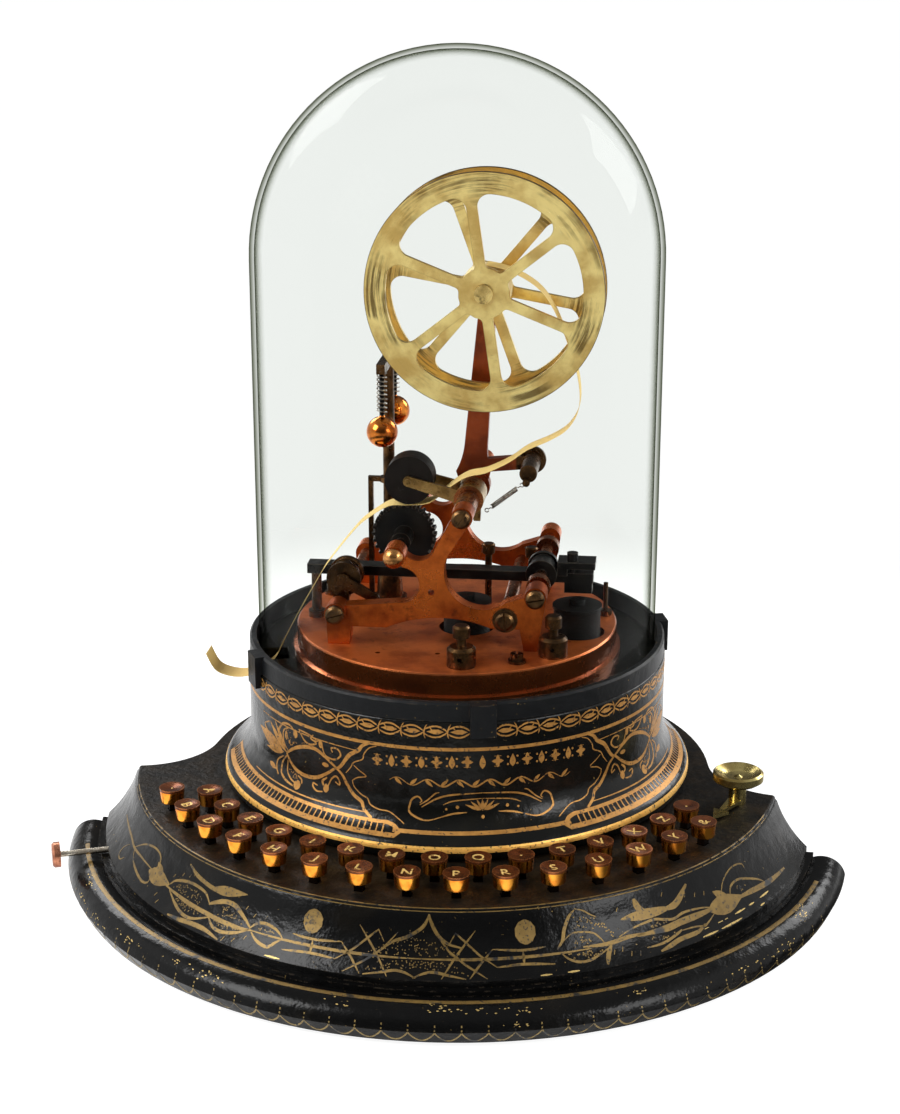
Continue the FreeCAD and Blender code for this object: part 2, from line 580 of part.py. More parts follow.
def disc(owner, name, role, across, up, radius, lift="0", turn="0"):
    """A circle on one of the body's own planes."""
    sketch = owner.newObject("Sketcher::SketchObject", name)
    sketch.AttachmentSupport = [(plane(owner, role), "")]
    sketch.MapMode = "FlatFace"
    sketch.addGeometry(Part.Circle(Vector(amount(across), amount(up), 0), Vector(0, 0, 1), amount(radius)), False)
    rules = []
    for kind, axis_line, text in (("DistanceX", -2, across), ("DistanceY", -1, up)):
        if text == "0":
            rules.append((Sketcher.Constraint("PointOnObject", 0, 3, axis_line), None))
        else:
            rules.append((Sketcher.Constraint(kind, -1, 1, 0, 3, amount(text)), text))
    rules.append((Sketcher.Constraint("Radius", 0, amount(radius)), radius))
    sketch.addConstraint([rule for rule, _ in rules])
    for number, (_, text) in enumerate(rules):
        if text and ALIAS.search(spelled(text)):
            sketch.setExpression("Constraints[%d]" % number, formula(text))
    sketch.AttachmentOffset = Placement(Vector(0, 0, amount(lift)), Rotation(Vector(0, 0, 1), amount(turn)))
    sketch.setExpression("AttachmentOffset.Base.z", formula(lift))
    if turn != "0":
        sketch.setExpression("AttachmentOffset.Rotation.Angle", formula(turn))
    return sketch


def spin(owner, name, corners, role="XZ_Plane", kind="PartDesign::Revolution", **sketch_settings):
    """A turned form: an outline of (radius, height) swung round the plane's upright axis."""
    sketch = outline(owner, name + "_outline", role, corners, **sketch_settings)
    turned = owner.newObject(kind, name)
    turned.Profile = sketch
    turned.ReferenceAxis = (sketch, ["V_Axis"])
    turned.Angle = 360
    return turned


def pad(owner, name, sketch, length, middle=False, back=False):
    raised = owner.newObject("PartDesign::Pad", name)
    raised.Profile = sketch
    bind(raised, Length=length)
    raised.Midplane = middle
    raised.Reversed = back
    return raised


def pocket(owner, name, sketch, length, middle=False, back=False):
    sunk = owner.newObject("PartDesign::Pocket", name)
    sunk.Profile = sketch
    bind(sunk, Length=length)
    sunk.Midplane = middle
    sunk.Reversed = back
    return sunk


def ring_of(owner, name, feature, count, sweep, role="Z_Axis"):
    """Copies of a feature round one of the body's own axes."""
    pattern = owner.newObject("PartDesign::PolarPattern", name)
    pattern.Originals = [feature]
    pattern.Axis = (plane(owner, role), [""])
    if sweep == "360":
        pattern.Angle = 360
    else:
        bind(pattern, Angle=sweep)
    bind(pattern, Occurrences=count)
    owner.Tip = pattern
    return pattern


def rod(label, radius, length, at, along="Z"):
    """A plain round rod from a point along one axis."""
    made = doc.addObject("Part::Cylinder", label)
    bind(made, Radius=radius, Height=length)
    axes = {"Z": ((0, 0, 1), "0"), "Y": ((1, 0, 0), "-90"), "X": ((0, 1, 0), "90")}
    return place(made, at, *axes[along])


def cut(label, base, tool):
    made = doc.addObject("Part::Cut", label)
    made.Base, made.Tool = base, tool
    made.Label = label
    return made


def group(label, *pieces):
    """Like pieces that share a node and stay separate solids."""
    made = doc.addObject("Part::Compound", label)
    made.Links = list(pieces)
    made.Label = label
    return made


NODES = []


def node(piece):
    """Mark a finished piece; its label names its file."""
    NODES.append(piece)
    return piece


def edges_where(feature, wanted):
    return ["Edge%d" % (number + 1) for number, edge in enumerate(feature.Shape.Edges) if wanted(edge)]


# Keyboard base. Its plan is a wide sector in front of the tower and a round wall behind it.
FLANK_Y = "(flank_radius - end_line)"
FLANK_X = "(sqrt((back_radius + flank_radius)^2 - %s^2))" % FLANK_Y
FRONT_REACH = "(deck_radius + torus_spread + 5 * overcut)"


def plan(inset, front, ends=True):
    """Half of the plan from the middle of the front round to the back, then its mirror image.

    Inside the walls the front is too short for flat ends, and meets the sweeps of the flanks.
    """
    back = "(back_radius - %s)" % inset
    flank = "(flank_radius + %s)" % inset
    side_x = "sqrt(%s^2 - (end_line + %s)^2)" % (front, inset)
    line = "-(end_line + %s)" % inset
    touch_x = "%s * %s / (back_radius + flank_radius)" % (FLANK_X, back)
    touch_y = "%s * %s / (back_radius + flank_radius)" % (FLANK_Y, back)
    right = [("0", "-" + front, front), (side_x, line, front)]
    left = [("-" + side_x, line, "-" + flank)]
    if ends:
        right.append((FLANK_X, line))
        left = [("-" + FLANK_X, line, "-" + flank), ("-" + side_x, line)]
    return right + [(touch_x, touch_y, "-" + flank), ("0", back, back), ("-" + touch_x, touch_y, back)] + left


base = body("keyboard_base_body")
base_plan = outline(base, "base_plan", "XY_Plane", plan("0", FRONT_REACH), lift="foot_height")
pad(base, "base_block", base_plan, "deck_height - foot_height")
EDGE = "deck_radius"
MOULDING = [
    (FRONT_REACH + " + overcut", "deck_height + overcut"),
    (EDGE + " - rim_round", "deck_height + overcut"),
    (EDGE + " - rim_round", "deck_height"),
    (EDGE, "deck_height - rim_round", "-rim_round"),
    (EDGE + " + rim_round * 0.5", "deck_height - rim_round * 1.5"),
    (EDGE + " + cove_spread", "cove_foot", "cove_round"),
    (EDGE + " + cove_spread", "lip_height + lip_depth"),
    (EDGE + " + lip_spread", "lip_height + lip_depth"),
    (EDGE + " + lip_spread", "lip_height"),
    (EDGE + " + torus_spread", "torus_height", "-torus_round"),
    (EDGE + " + base_spread", "foot_height"),
    (EDGE + " + base_spread", "foot_height - overcut"),
    (FRONT_REACH + " + overcut", "foot_height - overcut"),
]
spin(base, "moulding", MOULDING, kind="PartDesign::Groove")
# the pan under the deck, with a flange left round its foot for the board
BASE_FLOOR = "(deck_height - casting_wall)"
PAN = plan("casting_wall", "(deck_radius - casting_wall)", ends=False)
well = outline(base, "pan_plan", "XY_Plane", PAN, lift=BASE_FLOOR)
pocket(base, "pan", well, BASE_FLOOR)
hollow = spin(
    base,
    "skirt_hollow",
    [
        ("-(deck_radius - casting_wall - hollow_step)", "foot_height + casting_wall"),
        ("-(deck_radius + torus_spread - casting_wall * 2.2)", "foot_height + casting_wall"),
        ("-(deck_radius + torus_spread - casting_wall * 2.2)", "torus_height + root"),
        ("-(deck_radius + lip_spread - casting_wall * 1.6)", "lip_height - root"),
        ("-(deck_radius + cove_spread - casting_wall * 1.9)", "cove_foot"),
        ("-(deck_radius - casting_wall)", "deck_height - casting_wall - hollow_drop"),
        ("-(deck_radius - casting_wall - hollow_step)", "deck_height - casting_wall - hollow_drop"),
    ],
    role="YZ_Plane",
    kind="PartDesign::Groove",
)
hollow.Midplane = True
bind(hollow, Angle="skirt_sweep")
TOWER_BORE = "drum_radius - drum_wall * 3"
tower_hole = disc(base, "tower_hole_ring", "XY_Plane", "0", "0", TOWER_BORE, "deck_height + overcut")
pocket(base, "tower_hole", tower_hole, "casting_wall + 2 * overcut")


def key_holes(owner, prefix, row, first, top, depth):
    """Square holes for one row of stems, spread round the tower."""
    half = "(stem_width / 2 + stem_clear)"
    square = outline(
        owner,
        prefix + "_square",
        "XY_Plane",
        [
            ("-" + half, "-%s - %s" % (row, half)),
            (half, "-%s - %s" % (row, half)),
            (half, "-%s + %s" % (row, half)),
            ("-" + half, "-%s + %s" % (row, half)),
        ],
        lift=top,
        turn=first,
    )
    hole = pocket(owner, prefix + "_hole", square, depth)
    return ring_of(owner, prefix + "_row", hole, "key_count / 2", "(key_count - 2) * key_pitch")


OUTER_FIRST = "first_key_angle"
INNER_FIRST = "first_key_angle + key_pitch"
key_holes(base, "deck_outer", "outer_row", OUTER_FIRST, "deck_height + overcut", "casting_wall + 2 * overcut")
key_holes(base, "deck_inner", "inner_row", INNER_FIRST, "deck_height + overcut", "casting_wall + 2 * overcut")
DECK_CUT = "deck_height + overcut"
STALK_BORE = "stalk_radius + stalk_clear"
knob_hole = disc(base, "stalk_ring", "XY_Plane", "0", "-selector_ring", STALK_BORE, DECK_CUT, "selector_angle")
pocket(base, "stalk_hole", knob_hole, "casting_wall + 2 * overcut")
bore = body("rod_bore")
spin(
    bore,
    "rod_bore_round",
    [
        ("0", "-(deck_radius + torus_spread + overcut)"),
        ("rod_radius + rod_clear", "-(deck_radius + torus_spread + overcut)"),
        ("rod_radius + rod_clear", "-rod_inner"),
        ("0", "-rod_inner"),
    ],
    role="XY_Plane",
)
place(bore, ("0", "0", "rod_height"), turn="rod_angle")
node(cut("keyboard_base", base, bore))

# Board that closes the underside, with the hole for the line cable on the tower's axis.
board = body("bottom_board")
BOARD = plan("(casting_wall + seat_gap)", "(deck_radius - casting_wall - seat_gap)", ends=False)
board_plan = outline(board, "board_plan", "XY_Plane", BOARD, lift="foot_height")
pad(board, "board", board_plan, "board_thick")
cable_ring = disc(board, "cable_ring", "XY_Plane", "0", "0", "cable_bore", "foot_height + board_thick + overcut")
pocket(board, "cable_hole", cable_ring, "board_thick + 2 * overcut")
node(board)


def foot(name, ring, angle):
    where = ("%s * sin(%s)" % (ring, angle), "-%s * cos(%s)" % (ring, angle), "0")
    return rod(name, "foot_radius", "foot_height", where)


node(
    group(
        "base_feet",
        foot("foot_front_left", "front_foot_ring", "-front_foot_angle"),
        foot("foot_front_right", "front_foot_ring", "front_foot_angle"),
        foot("foot_back_left", "back_foot_ring", "-back_foot_angle"),
        foot("foot_back_right", "back_foot_ring", "back_foot_angle"),
    )
)

# Channel inside the base that steers the lower ends of the key stems.
guide = body("key_guide")
GUIDE_IN = "(inner_row - stem_width / 2 - guide_margin)"
GUIDE_OUT = "(outer_row + stem_width / 2 + guide_margin - guide_slack)"
channel = spin(
    guide,
    "channel",
    [
        ("-" + GUIDE_IN, "foot_height + board_thick"),
        ("-" + GUIDE_IN, "guide_top"),
        ("-" + GUIDE_OUT, "guide_top"),
        ("-" + GUIDE_OUT, "foot_height + board_thick"),
        ("-(%s - guide_thick)" % GUIDE_OUT, "foot_height + board_thick"),
        ("-(%s - guide_thick)" % GUIDE_OUT, "guide_top - guide_thick"),
        ("-(%s + guide_thick)" % GUIDE_IN, "guide_top - guide_thick"),
        ("-(%s + guide_thick)" % GUIDE_IN, "foot_height + board_thick"),
    ],
    role="YZ_Plane",
)
channel.Midplane = True
bind(channel, Angle="(key_count + 1) * key_pitch")
key_holes(guide, "guide_outer", "outer_row", OUTER_FIRST, "guide_top + overcut", "guide_thick + 2 * overcut")
key_holes(guide, "guide_inner", "inner_row", INNER_FIRST, "guide_top + overcut", "guide_thick + 2 * overcut")
node(guide)

# Keys: a dished cap on a square stem.
CAP_FOOT = "(key_travel + key_clear)"
STEM_DOWN = "(deck_height - guide_top + guide_thick + stem_below)"


def key(number):
    """One key, standing on the deck with its own z = 0 at the deck's top."""
    row = "outer_row" if number % 2 else "inner_row"
    angle = "(first_key_angle + %d * key_pitch)" % (number - 1)
    made = body("key_%02d" % number)
    spin(
        made,
        "cap_%02d" % number,
        [
            ("0", CAP_FOOT),
            ("cap_foot_radius", CAP_FOOT),
            ("cap_radius", "%s + cap_tall" % CAP_FOOT),
            ("cap_radius - cap_rim", "%s + cap_tall" % CAP_FOOT),
            ("0", "%s + cap_tall - cap_dish" % CAP_FOOT),
        ],
    )
    half = "stem_width / 2"
    corners = [("-" + half, "-" + half), (half, "-" + half), (half, half), ("-" + half, half)]
    square = outline(made, "stem_square_%02d" % number, "XY_Plane", corners, lift=CAP_FOOT)
    pad(made, "stem_%02d" % number, square, "%s + %s" % (STEM_DOWN, CAP_FOOT), back=True)
    place(made, ("%s * sin%s" % (row, angle), "-%s * cos%s" % (row, angle), "deck_height"), turn=angle)
    return made


for key_number in range(1, int(amount("key_count")) + 1):
    node(key(key_number))

# Selector: a dished brass knob on a stalk, with a pointer over the deck.
knob = body("selector_knob")
spin(
    knob,
    "knob_turned",
    [
        ("0", "-casting_wall - stalk_below"),
        ("stalk_radius", "-casting_wall - stalk_below"),
        ("stalk_radius", "dish_height - dish_tall - root"),
        ("dish_radius - dish_under", "dish_height - dish_tall"),
        ("dish_radius", "dish_height - dish_tall + dish_flank"),
        ("dish_radius", "dish_height - dish_edge"),
        ("dish_radius - dish_lip", "dish_height"),
        ("dish_radius * 0.5", "dish_height - dish_slope"),
        ("dish_point", "dish_height - dish_well"),
        ("0", "dish_height - dish_point_drop"),
    ],
)
pointer = outline(
    knob,
    "pointer_plan",
    "XY_Plane",
    [
        ("stalk_radius * 0.5", "-pointer_width / 2"),
        ("pointer_reach - pointer_head", "-pointer_neck"),
        ("pointer_reach - pointer_head", "-pointer_barb"),
        ("pointer_reach", "0"),
        ("pointer_reach - pointer_head", "pointer_barb"),
        ("pointer_reach - pointer_head", "pointer_neck"),
        ("stalk_radius * 0.5", "pointer_width / 2"),
    ],
    lift="pointer_lift",
)
pad(knob, "pointer", pointer, "pointer_thick")
place(
    knob,
    ("selector_ring * sin(selector_angle)", "-selector_ring * cos(selector_angle)", "deck_height"),
    turn="selector_angle + 90 + selector_rest",
)
node(knob)

# Pull rod: it runs through the foot moulding at the left.
puller = body("pull_rod")
spin(
    puller,
    "rod_turned",
    [
        ("0", "-(rod_outer + rod_head_thick)"),
        ("rod_head - rod_head_edge", "-(rod_outer + rod_head_thick)"),
        ("rod_head", "-(rod_outer + rod_head_thick - rod_head_edge)"),
        ("rod_head", "-rod_outer"),
        ("rod_radius", "-rod_outer"),
        ("rod_radius", "-rod_inner"),
        ("0", "-rod_inner"),
    ],
    role="XY_Plane",
)
place(puller, ("0", "0", "rod_height"), turn="rod_angle")
node(puller)

# Tower: a round casting that flares into a rolled foot on the deck.
drum = body("tower_drum")
WALL_IN = "(drum_radius - drum_wall)"
spin(
    drum,
    "drum_turned",
    [
        ("well_radius", "drum_top - drum_wall"),
        (WALL_IN, "drum_top - drum_wall"),
        (WALL_IN, "flare_top - drum_wall"),
        ("drum_radius + flange_spread - drum_wall", "flare_foot - flange_round"),
        ("drum_radius + flange_spread - drum_wall", "deck_height"),
        ("drum_radius + flange_spread", "deck_height"),
        ("drum_radius + flare_spread", "flare_foot", "flange_round"),
        ("drum_radius", "flare_top", "-flare_round"),
        ("drum_radius", "drum_top - shoulder_round"),
        ("drum_radius - shoulder_round", "drum_top", "shoulder_round"),
        ("well_radius", "drum_top"),
    ],
)
half_chute = "chute_width / 2"
chute = outline(
    drum,
    "chute_plan",
    "XY_Plane",
    [
        ("-" + half_chute, "-(drum_radius + overcut)"),
        (half_chute, "-(drum_radius + overcut)"),
        (half_chute, "-chute_inner"),
        ("-" + half_chute, "-chute_inner"),
    ],
    lift="drum_top + overcut",
    turn="chute_angle",
)
pocket(drum, "chute", chute, "drum_top + overcut - chute_floor")
node(drum)

# Dome ring: it holds the foot of the glass and is screwed down by four lugs.
ring = body("dome_ring")
spin(
    ring,
    "ring_turned",
    [
        ("ring_inner", "drum_top"),
        ("ring_outer", "drum_top"),
        ("ring_outer", "ring_top - ring_edge"),
        ("ring_outer - ring_edge", "ring_top"),
        ("ring_inner", "ring_top"),
    ],
)
doc.recompute()
for side in ("front", "right", "back", "left"):
    lug = outline(
        ring,
        "lug_%s_profile" % side,
        "YZ_Plane",
        [
            ("-(ring_inner + root)", "ring_top"),
            ("-(drum_radius + tab_reach)", "ring_top"),
            ("-(drum_radius + tab_reach)", "tab_foot"),
            ("-(drum_radius + seat_gap)", "tab_foot"),
            ("-(drum_radius + seat_gap)", "drum_top"),
            ("-(ring_inner + root)", "drum_top"),
        ],
        turn="tab_" + side,
        turn_axis=(0, 1, 0),
    )
    pad(ring, "lug_" + side, lug, "tab_width", middle=True)
node(ring)

# Glass dome: a blown cylinder with a round crown.
dome = body("glass_dome")
CROWN = "(dome_top - dome_radius)"
spin(
    dome,
    "dome_blown",
    [
        ("dome_radius", "drum_top + dome_seat"),
        ("dome_radius", CROWN),
        ("0", "dome_top", "dome_radius"),
        ("0", "dome_top - glass_wall"),
        ("dome_radius - glass_wall", CROWN, "-(dome_radius - glass_wall)"),
        ("dome_radius - glass_wall", "drum_top + dome_seat"),
    ],
)
node(dome)

# Bed plate: a thick copper disc with two wells for the magnets.
bed = body("bed_plate")
spin(
    bed,
    "plate_turned",
    [
        ("0", "drum_top"),
        ("plate_radius + plate_lip", "drum_top"),
        ("plate_radius + plate_lip", "drum_top + plate_lip_tall"),
        ("plate_radius", "drum_top + plate_lip_tall + plate_edge"),
        ("plate_radius", "plate_top - plate_edge"),
        ("plate_radius - plate_edge", "plate_top"),
        ("0", "plate_top"),
    ],
)
for side in ("right", "left"):
    spot = ("coil_%s_x" % side, "coil_%s_y" % side)
    hole = disc(bed, "well_" + side, "XY_Plane", *spot, "coil_radius + coil_gap", "plate_top + overcut")
    pocket(bed, "coil_well_" + side, hole, "coil_sink + overcut")
    spot = ("pin_%s_x" % side, "pin_%s_y" % side)
    hole = disc(bed, "pin_ring_" + side, "XY_Plane", *spot, "pin_hole", "plate_top + overcut")
    pocket(bed, "pin_hole_" + side, hole, "pin_hole_deep + overcut")
node(bed)


# Magnets: wound coils with iron cores, standing in the wells of the plate.
def magnet(side):
    made = body("magnet_" + side)
    spin(
        made,
        "coil_" + side,
        [
            ("0", "0"),
            ("coil_radius", "0"),
            ("coil_radius", "coil_cheek"),
            ("coil_radius - coil_wind", "coil_cheek"),
            ("coil_radius - coil_wind", "coil_tall - coil_cheek"),
            ("coil_radius", "coil_tall - coil_cheek"),
            ("coil_radius", "coil_tall"),
            ("core_radius", "coil_tall"),
            ("core_radius", "coil_tall + core_rise"),
            ("0", "coil_tall + core_rise"),
        ],
    )
    return place(made, ("coil_%s_x" % side, "coil_%s_y" % side, "plate_top - coil_sink"))


node(group("magnets", magnet("right"), magnet("left")))


# Binding posts: a bored collar under a clamp nut on a neck.
def binding_post(side):
    made = body("binding_post_" + side)
    spin(
        made,
        "post_turned_" + side,
        [
            ("0", "0"),
            ("post_radius", "0"),
            ("post_radius", "post_tall - post_bevel"),
            ("post_radius - post_bevel", "post_tall"),
            ("neck_radius", "post_tall"),
            ("neck_radius", "post_tall + neck_tall"),
            ("nut_radius", "post_tall + neck_tall + nut_bevel"),
            ("nut_radius", "post_tall + neck_tall + nut_tall - nut_bevel"),
            ("nut_radius - nut_bevel", "post_tall + neck_tall + nut_tall"),
            ("0", "post_tall + neck_tall + nut_tall"),
        ],
    )
    wire = disc(made, "wire_ring_" + side, "XZ_Plane", "0", "post_tall / 2", "post_hole", "post_radius + overcut")
    pocket(made, "wire_hole_" + side, wire, "(post_radius + overcut) * 2")
    return place(made, ("post_%s_x" % side, "post_%s_y" % side, "plate_top"))




def turned(label, across, along, corners):
    """A turned fitting that stands upright at a place on the bed plate."""
    made = body(label)
    spin(made, label + "_profile", corners)
    return place(made, (across, along, "plate_top"))


def contact_screw(side):
    """A milled head on a thin pillar, with a nut at its foot."""
    under = "contact_%s_up" % side
    return turned(
        "contact_screw_" + side,
        "contact_%s_x" % side,
        "contact_%s_y" % side,
        [
            ("0", "0"),
            ("contact_foot", "0"),
            ("contact_foot", "contact_foot_tall"),
            ("contact_radius", "contact_foot_tall"),
            ("contact_radius", under),
            ("contact_head - contact_edge", under),
            ("contact_head", under + " + contact_edge"),
            ("contact_head", under + " + contact_head_tall - contact_edge"),
            ("contact_head - contact_edge", under + " + contact_head_tall"),
            ("0", under + " + contact_head_tall"),
        ],
    )


cap_nut = turned(
    "cap_nut",
    "cap_nut_x",
    "cap_nut_y",
    [
        ("0", "0"),
        ("cap_nut_foot", "0"),
        ("cap_nut_foot", "cap_nut_step"),
        ("cap_nut_radius", "cap_nut_step"),
        ("cap_nut_radius", "cap_nut_tall"),
        ("0", "cap_nut_tall"),
    ],
)
for way, wide, long in (("along", "slot_width", "2 * cap_nut_foot"), ("across", "2 * cap_nut_foot", "slot_width")):
    half, end = "(%s) / 2" % wide, "(%s) / 2" % long
    slit = outline(
        cap_nut,
        "cap_nut_slot_" + way,
        "XY_Plane",
        [("-" + half, "-" + end), (half, "-" + end), (half, end), ("-" + half, end)],
        lift="cap_nut_tall + overcut",
    )
    pocket(cap_nut, "cap_nut_cut_" + way, slit, "slot_depth + overcut")
gauge_rod = turned(
    "gauge_rod",
    "gauge_x",
    "gauge_y",
    [
        ("0", "0"),
        ("gauge_foot", "0"),
        ("gauge_foot", "gauge_foot_tall"),
        ("gauge_radius", "gauge_foot_tall"),
        ("gauge_radius", "gauge_tall"),
        ("0", "gauge_tall"),
    ],
)
lock_nut = turned(
    "lock_nut",
    "lock_x",
    "lock_y",
    [
        ("0", "0"),
        ("lock_foot", "0"),
        ("lock_foot", "lock_step"),
        ("lock_radius", "lock_step"),
        ("lock_radius", "lock_tall"),
        ("lock_stud", "lock_tall"),
        ("lock_stud", "lock_stud_tall"),
        ("0", "lock_stud_tall"),
    ],
)
node(
    group(
        "binding_posts",
        binding_post("left"),
        binding_post("right"),
        contact_screw("left"),
        contact_screw("right"),
        cap_nut,
        gauge_rod,
        lock_nut,
    )
)


# Frames: two copper castings of one pattern, with bosses for the rods and the type shaft.
def on_circle(across, up, radius, angle):
    return ("%s + %s * cos(%s)" % (across, radius, angle), "%s + %s * sin(%s)" % (up, radius, angle))


FRAME = [
    ("foot_left_x", "plate_top"),
    ("foot_left_x + foot_wide", "plate_top"),
    ("foot_left_x + foot_wide + foot_taper", "beam_low"),
    ("left_rod_x + arch_left", "beam_low"),
    ("low_rod_x - arch_right", "beam_low_right", "-arch_round"),
    ("foot_right_x - foot_narrow - foot_taper_right", "beam_low_right"),
    ("foot_right_x - foot_narrow", "plate_top"),
    ("foot_right_x", "plate_top"),
    on_circle("shaft_x", "shaft_z", "boss_radius", "-10"),
    on_circle("shaft_x", "shaft_z", "boss_radius", "90") + ("boss_radius",),
    on_circle("shaft_x", "shaft_z", "boss_radius", "190") + ("boss_radius",),
    on_circle("eye_x", "eye_z", "eye_radius", "-52"),
    on_circle("eye_x", "eye_z", "eye_radius", "-150") + ("-eye_radius",),
    on_circle("eye_x", "eye_z", "eye_radius", "150") + ("-eye_radius",),
    on_circle("top_rod_x", "top_rod_z", "boss_radius", "-27"),
    on_circle("top_rod_x", "top_rod_z", "boss_radius", "90") + ("boss_radius",),
    on_circle("top_rod_x", "top_rod_z", "boss_radius", "195") + ("boss_radius",),
    on_circle("notch_x", "notch_z", "notch_radius", "-18"),
    on_circle("notch_x", "notch_z", "notch_radius", "-137") + ("-notch_radius",),
    on_circle("wheel_x", "wheel_z", "boss_radius", "90") + ("boss_radius",),
    on_circle("wheel_x", "wheel_z", "boss_radius", "180") + ("boss_radius",),
    on_circle("wheel_x", "wheel_z", "boss_radius", "-68") + ("boss_radius",),
    on_circle("gap_x", "gap_z", "gap_radius", "83"),
    on_circle("gap_x", "gap_z", "gap_radius", "0") + ("-gap_radius",),
    on_circle("gap_x", "gap_z", "gap_radius", "-99") + ("-gap_radius",),
    on_circle("left_rod_x", "left_rod_z", "boss_radius", "37"),
    on_circle("left_rod_x", "left_rod_z", "boss_radius", "110") + ("boss_radius",),
    on_circle("left_rod_x", "left_rod_z", "boss_radius", "180") + ("boss_radius",),
]
BOSSES = (("top_rod_x", "top_rod_z"), ("wheel_x", "wheel_z"), ("shaft_x", "shaft_z"), ("left_rod_x", "left_rod_z"))


def frame(label, back_face, thick, boss_lift, oil=False):
    """One casting; it rises from its back face towards the front, and its bosses stand out at boss_lift."""
    made = body(label)
    pad(made, label + "_web", outline(made, label + "_profile", "XZ_Plane", FRAME, lift="-(%s)" % back_face), thick)
    for number, (across, up) in enumerate(BOSSES):
        name = "%s_boss_%d" % (label, number)
        pad(made, name, disc(made, name + "_ring", "XZ_Plane", across, up, "boss_radius", boss_lift), thick)
    bore = disc(made, label + "_bore_ring", "XZ_Plane", "wheel_x", "wheel_z", "type_shaft + axle_clear")
    pocket(made, label + "_bore", bore, "through", middle=True)
    if oil:
        hole = disc(made, label + "_oil_ring", "XZ_Plane", "oil_x", "oil_z", "oil_hole", "-(front_face - overcut)")
        pocket(made, label + "_oil_hole", hole, "frame_thick + 2 * overcut")
    return node(made)


frame("front_frame", "front_face + frame_thick", "frame_thick", "-(front_face + frame_thick - boss_rise)", oil=True)
frame("rear_frame", "rear_face + rear_thick", "rear_thick", "-(rear_face + rear_thick + boss_rise)")

# Rods that space the two castings, the armature's fixed shaft among them.
SPAN = "(rear_face - front_face - frame_thick)"


def cross_rod(name, across, up, radius):
    return rod(name, radius, SPAN, (across, "front_face + frame_thick", up), "Y")


def shaft_collar(name, front):
    """A collar pinned on the armature's shaft."""
    made = body(name)
    spin(
        made,
        name + "_turned",
        [
            ("shaft_radius", front),
            ("collar_radius", front),
            ("collar_radius", front + " + collar_long"),
            ("shaft_radius", front + " + collar_long"),
        ],
        role="XY_Plane",
    )
    return place(made, ("shaft_x", "0", "shaft_z"))


node(
    group(
        "cross_rods",
        cross_rod("top_rod", "top_rod_x", "top_rod_z", "top_rod_radius"),
        cross_rod("left_rod", "left_rod_x", "left_rod_z", "left_rod_radius"),
        cross_rod("low_rod", "low_rod_x", "low_rod_z", "low_rod_radius"),
        cross_rod("armature_shaft", "shaft_x", "shaft_z", "shaft_radius"),
        shaft_collar("collar_ahead", "collar_front"),
        shaft_collar("collar_behind", "collar_back"),
    )
)


# Slotted screws that draw the castings against the rods.
def slotted_screw(name, across, up, face, turn, washer=None):
    made = body(name)
    foot = [("0", "0"), ("screw_head", "0")]
    if washer:
        foot = [("0", "0"), (washer, "0"), (washer, "-washer_thick"), ("screw_head", "-washer_thick")]
    head = [
        ("screw_head", "-screw_head_tall"),
        ("screw_head - head_bevel", "-screw_head_tall - head_crown"),
        ("0", "-screw_head_tall - head_crown"),
    ]
    spin(made, name + "_turned", foot + head, role="XY_Plane")
    half = "slot_width / 2"
    slot = outline(
        made,
        name + "_slot",
        "XZ_Plane",
        [
            ("-screw_head - overcut", "-" + half),
            ("screw_head + overcut", "-" + half),
            ("screw_head + overcut", half),
            ("-screw_head - overcut", half),
        ],
        lift="screw_head_tall + head_crown + overcut",
        turn=turn,
    )
    pocket(made, name + "_cut", slot, "slot_depth + overcut")
    return place(made, (across, face, up))


BOSS_FACE = "front_face - boss_rise"
node(
    group(
        "frame_screws",
        slotted_screw("screw_top", "top_rod_x", "top_rod_z", BOSS_FACE, "60"),
        slotted_screw("screw_shaft", "shaft_x", "shaft_z", BOSS_FACE, "10"),
        slotted_screw("screw_left", "left_rod_x", "left_rod_z", BOSS_FACE, "15"),
        slotted_screw("screw_low", "low_rod_x", "low_rod_z", "front_face", "95", "washer_radius"),
    )
)

# Reel post: a tapered bar on the top rod, with the reel's axle and the guide arm.
post = body("reel_post")
POST_LIFT = "-post_back"
post_sides = [
    ("top_rod_x - post_collar * 0.8", "top_rod_z"),
    ("top_rod_x + post_collar * 0.8", "top_rod_z"),
    ("top_rod_x + post_flare", "top_rod_z + post_shoulder"),
    ("top_rod_x + post_lean + post_waist", "top_rod_z + post_waist_rise", "-post_sweep"),
    ("reel_x + post_tip", "reel_z"),
    ("reel_x", "reel_z + post_tip", "post_tip"),
    ("reel_x - post_tip", "reel_z", "post_tip"),
    ("top_rod_x + post_lean - post_waist", "top_rod_z + post_waist_rise"),
    ("top_rod_x - post_flare", "top_rod_z + post_left_rise", "-post_sweep"),
    ("top_rod_x - post_flare - post_step", "top_rod_z + post_shoulder"),
]
pad(post, "post_bar", outline(post, "post_profile", "XZ_Plane", post_sides, lift=POST_LIFT), "post_thick")
eye_ring = disc(post, "post_eye_ring", "XZ_Plane", "top_rod_x", "top_rod_z", "post_collar", "-post_back - eye_proud")
pad(post, "post_eye", eye_ring, "post_thick + 2 * eye_proud")
arm_profile = [
    ("top_rod_x", "arm_end_z - arm_drop - arm_depth"),
    ("arm_end_x", "arm_end_z - arm_depth"),
    ("arm_end_x", "arm_end_z + arm_depth"),
    ("top_rod_x", "arm_end_z - arm_drop + arm_depth"),
]
pad(post, "guide_arm", outline(post, "guide_arm_profile", "XZ_Plane", arm_profile, lift=POST_LIFT), "post_thick")
boss_ring = disc(post, "guide_boss_ring", "XZ_Plane", "arm_end_x", "arm_end_z", "arm_boss", POST_LIFT)
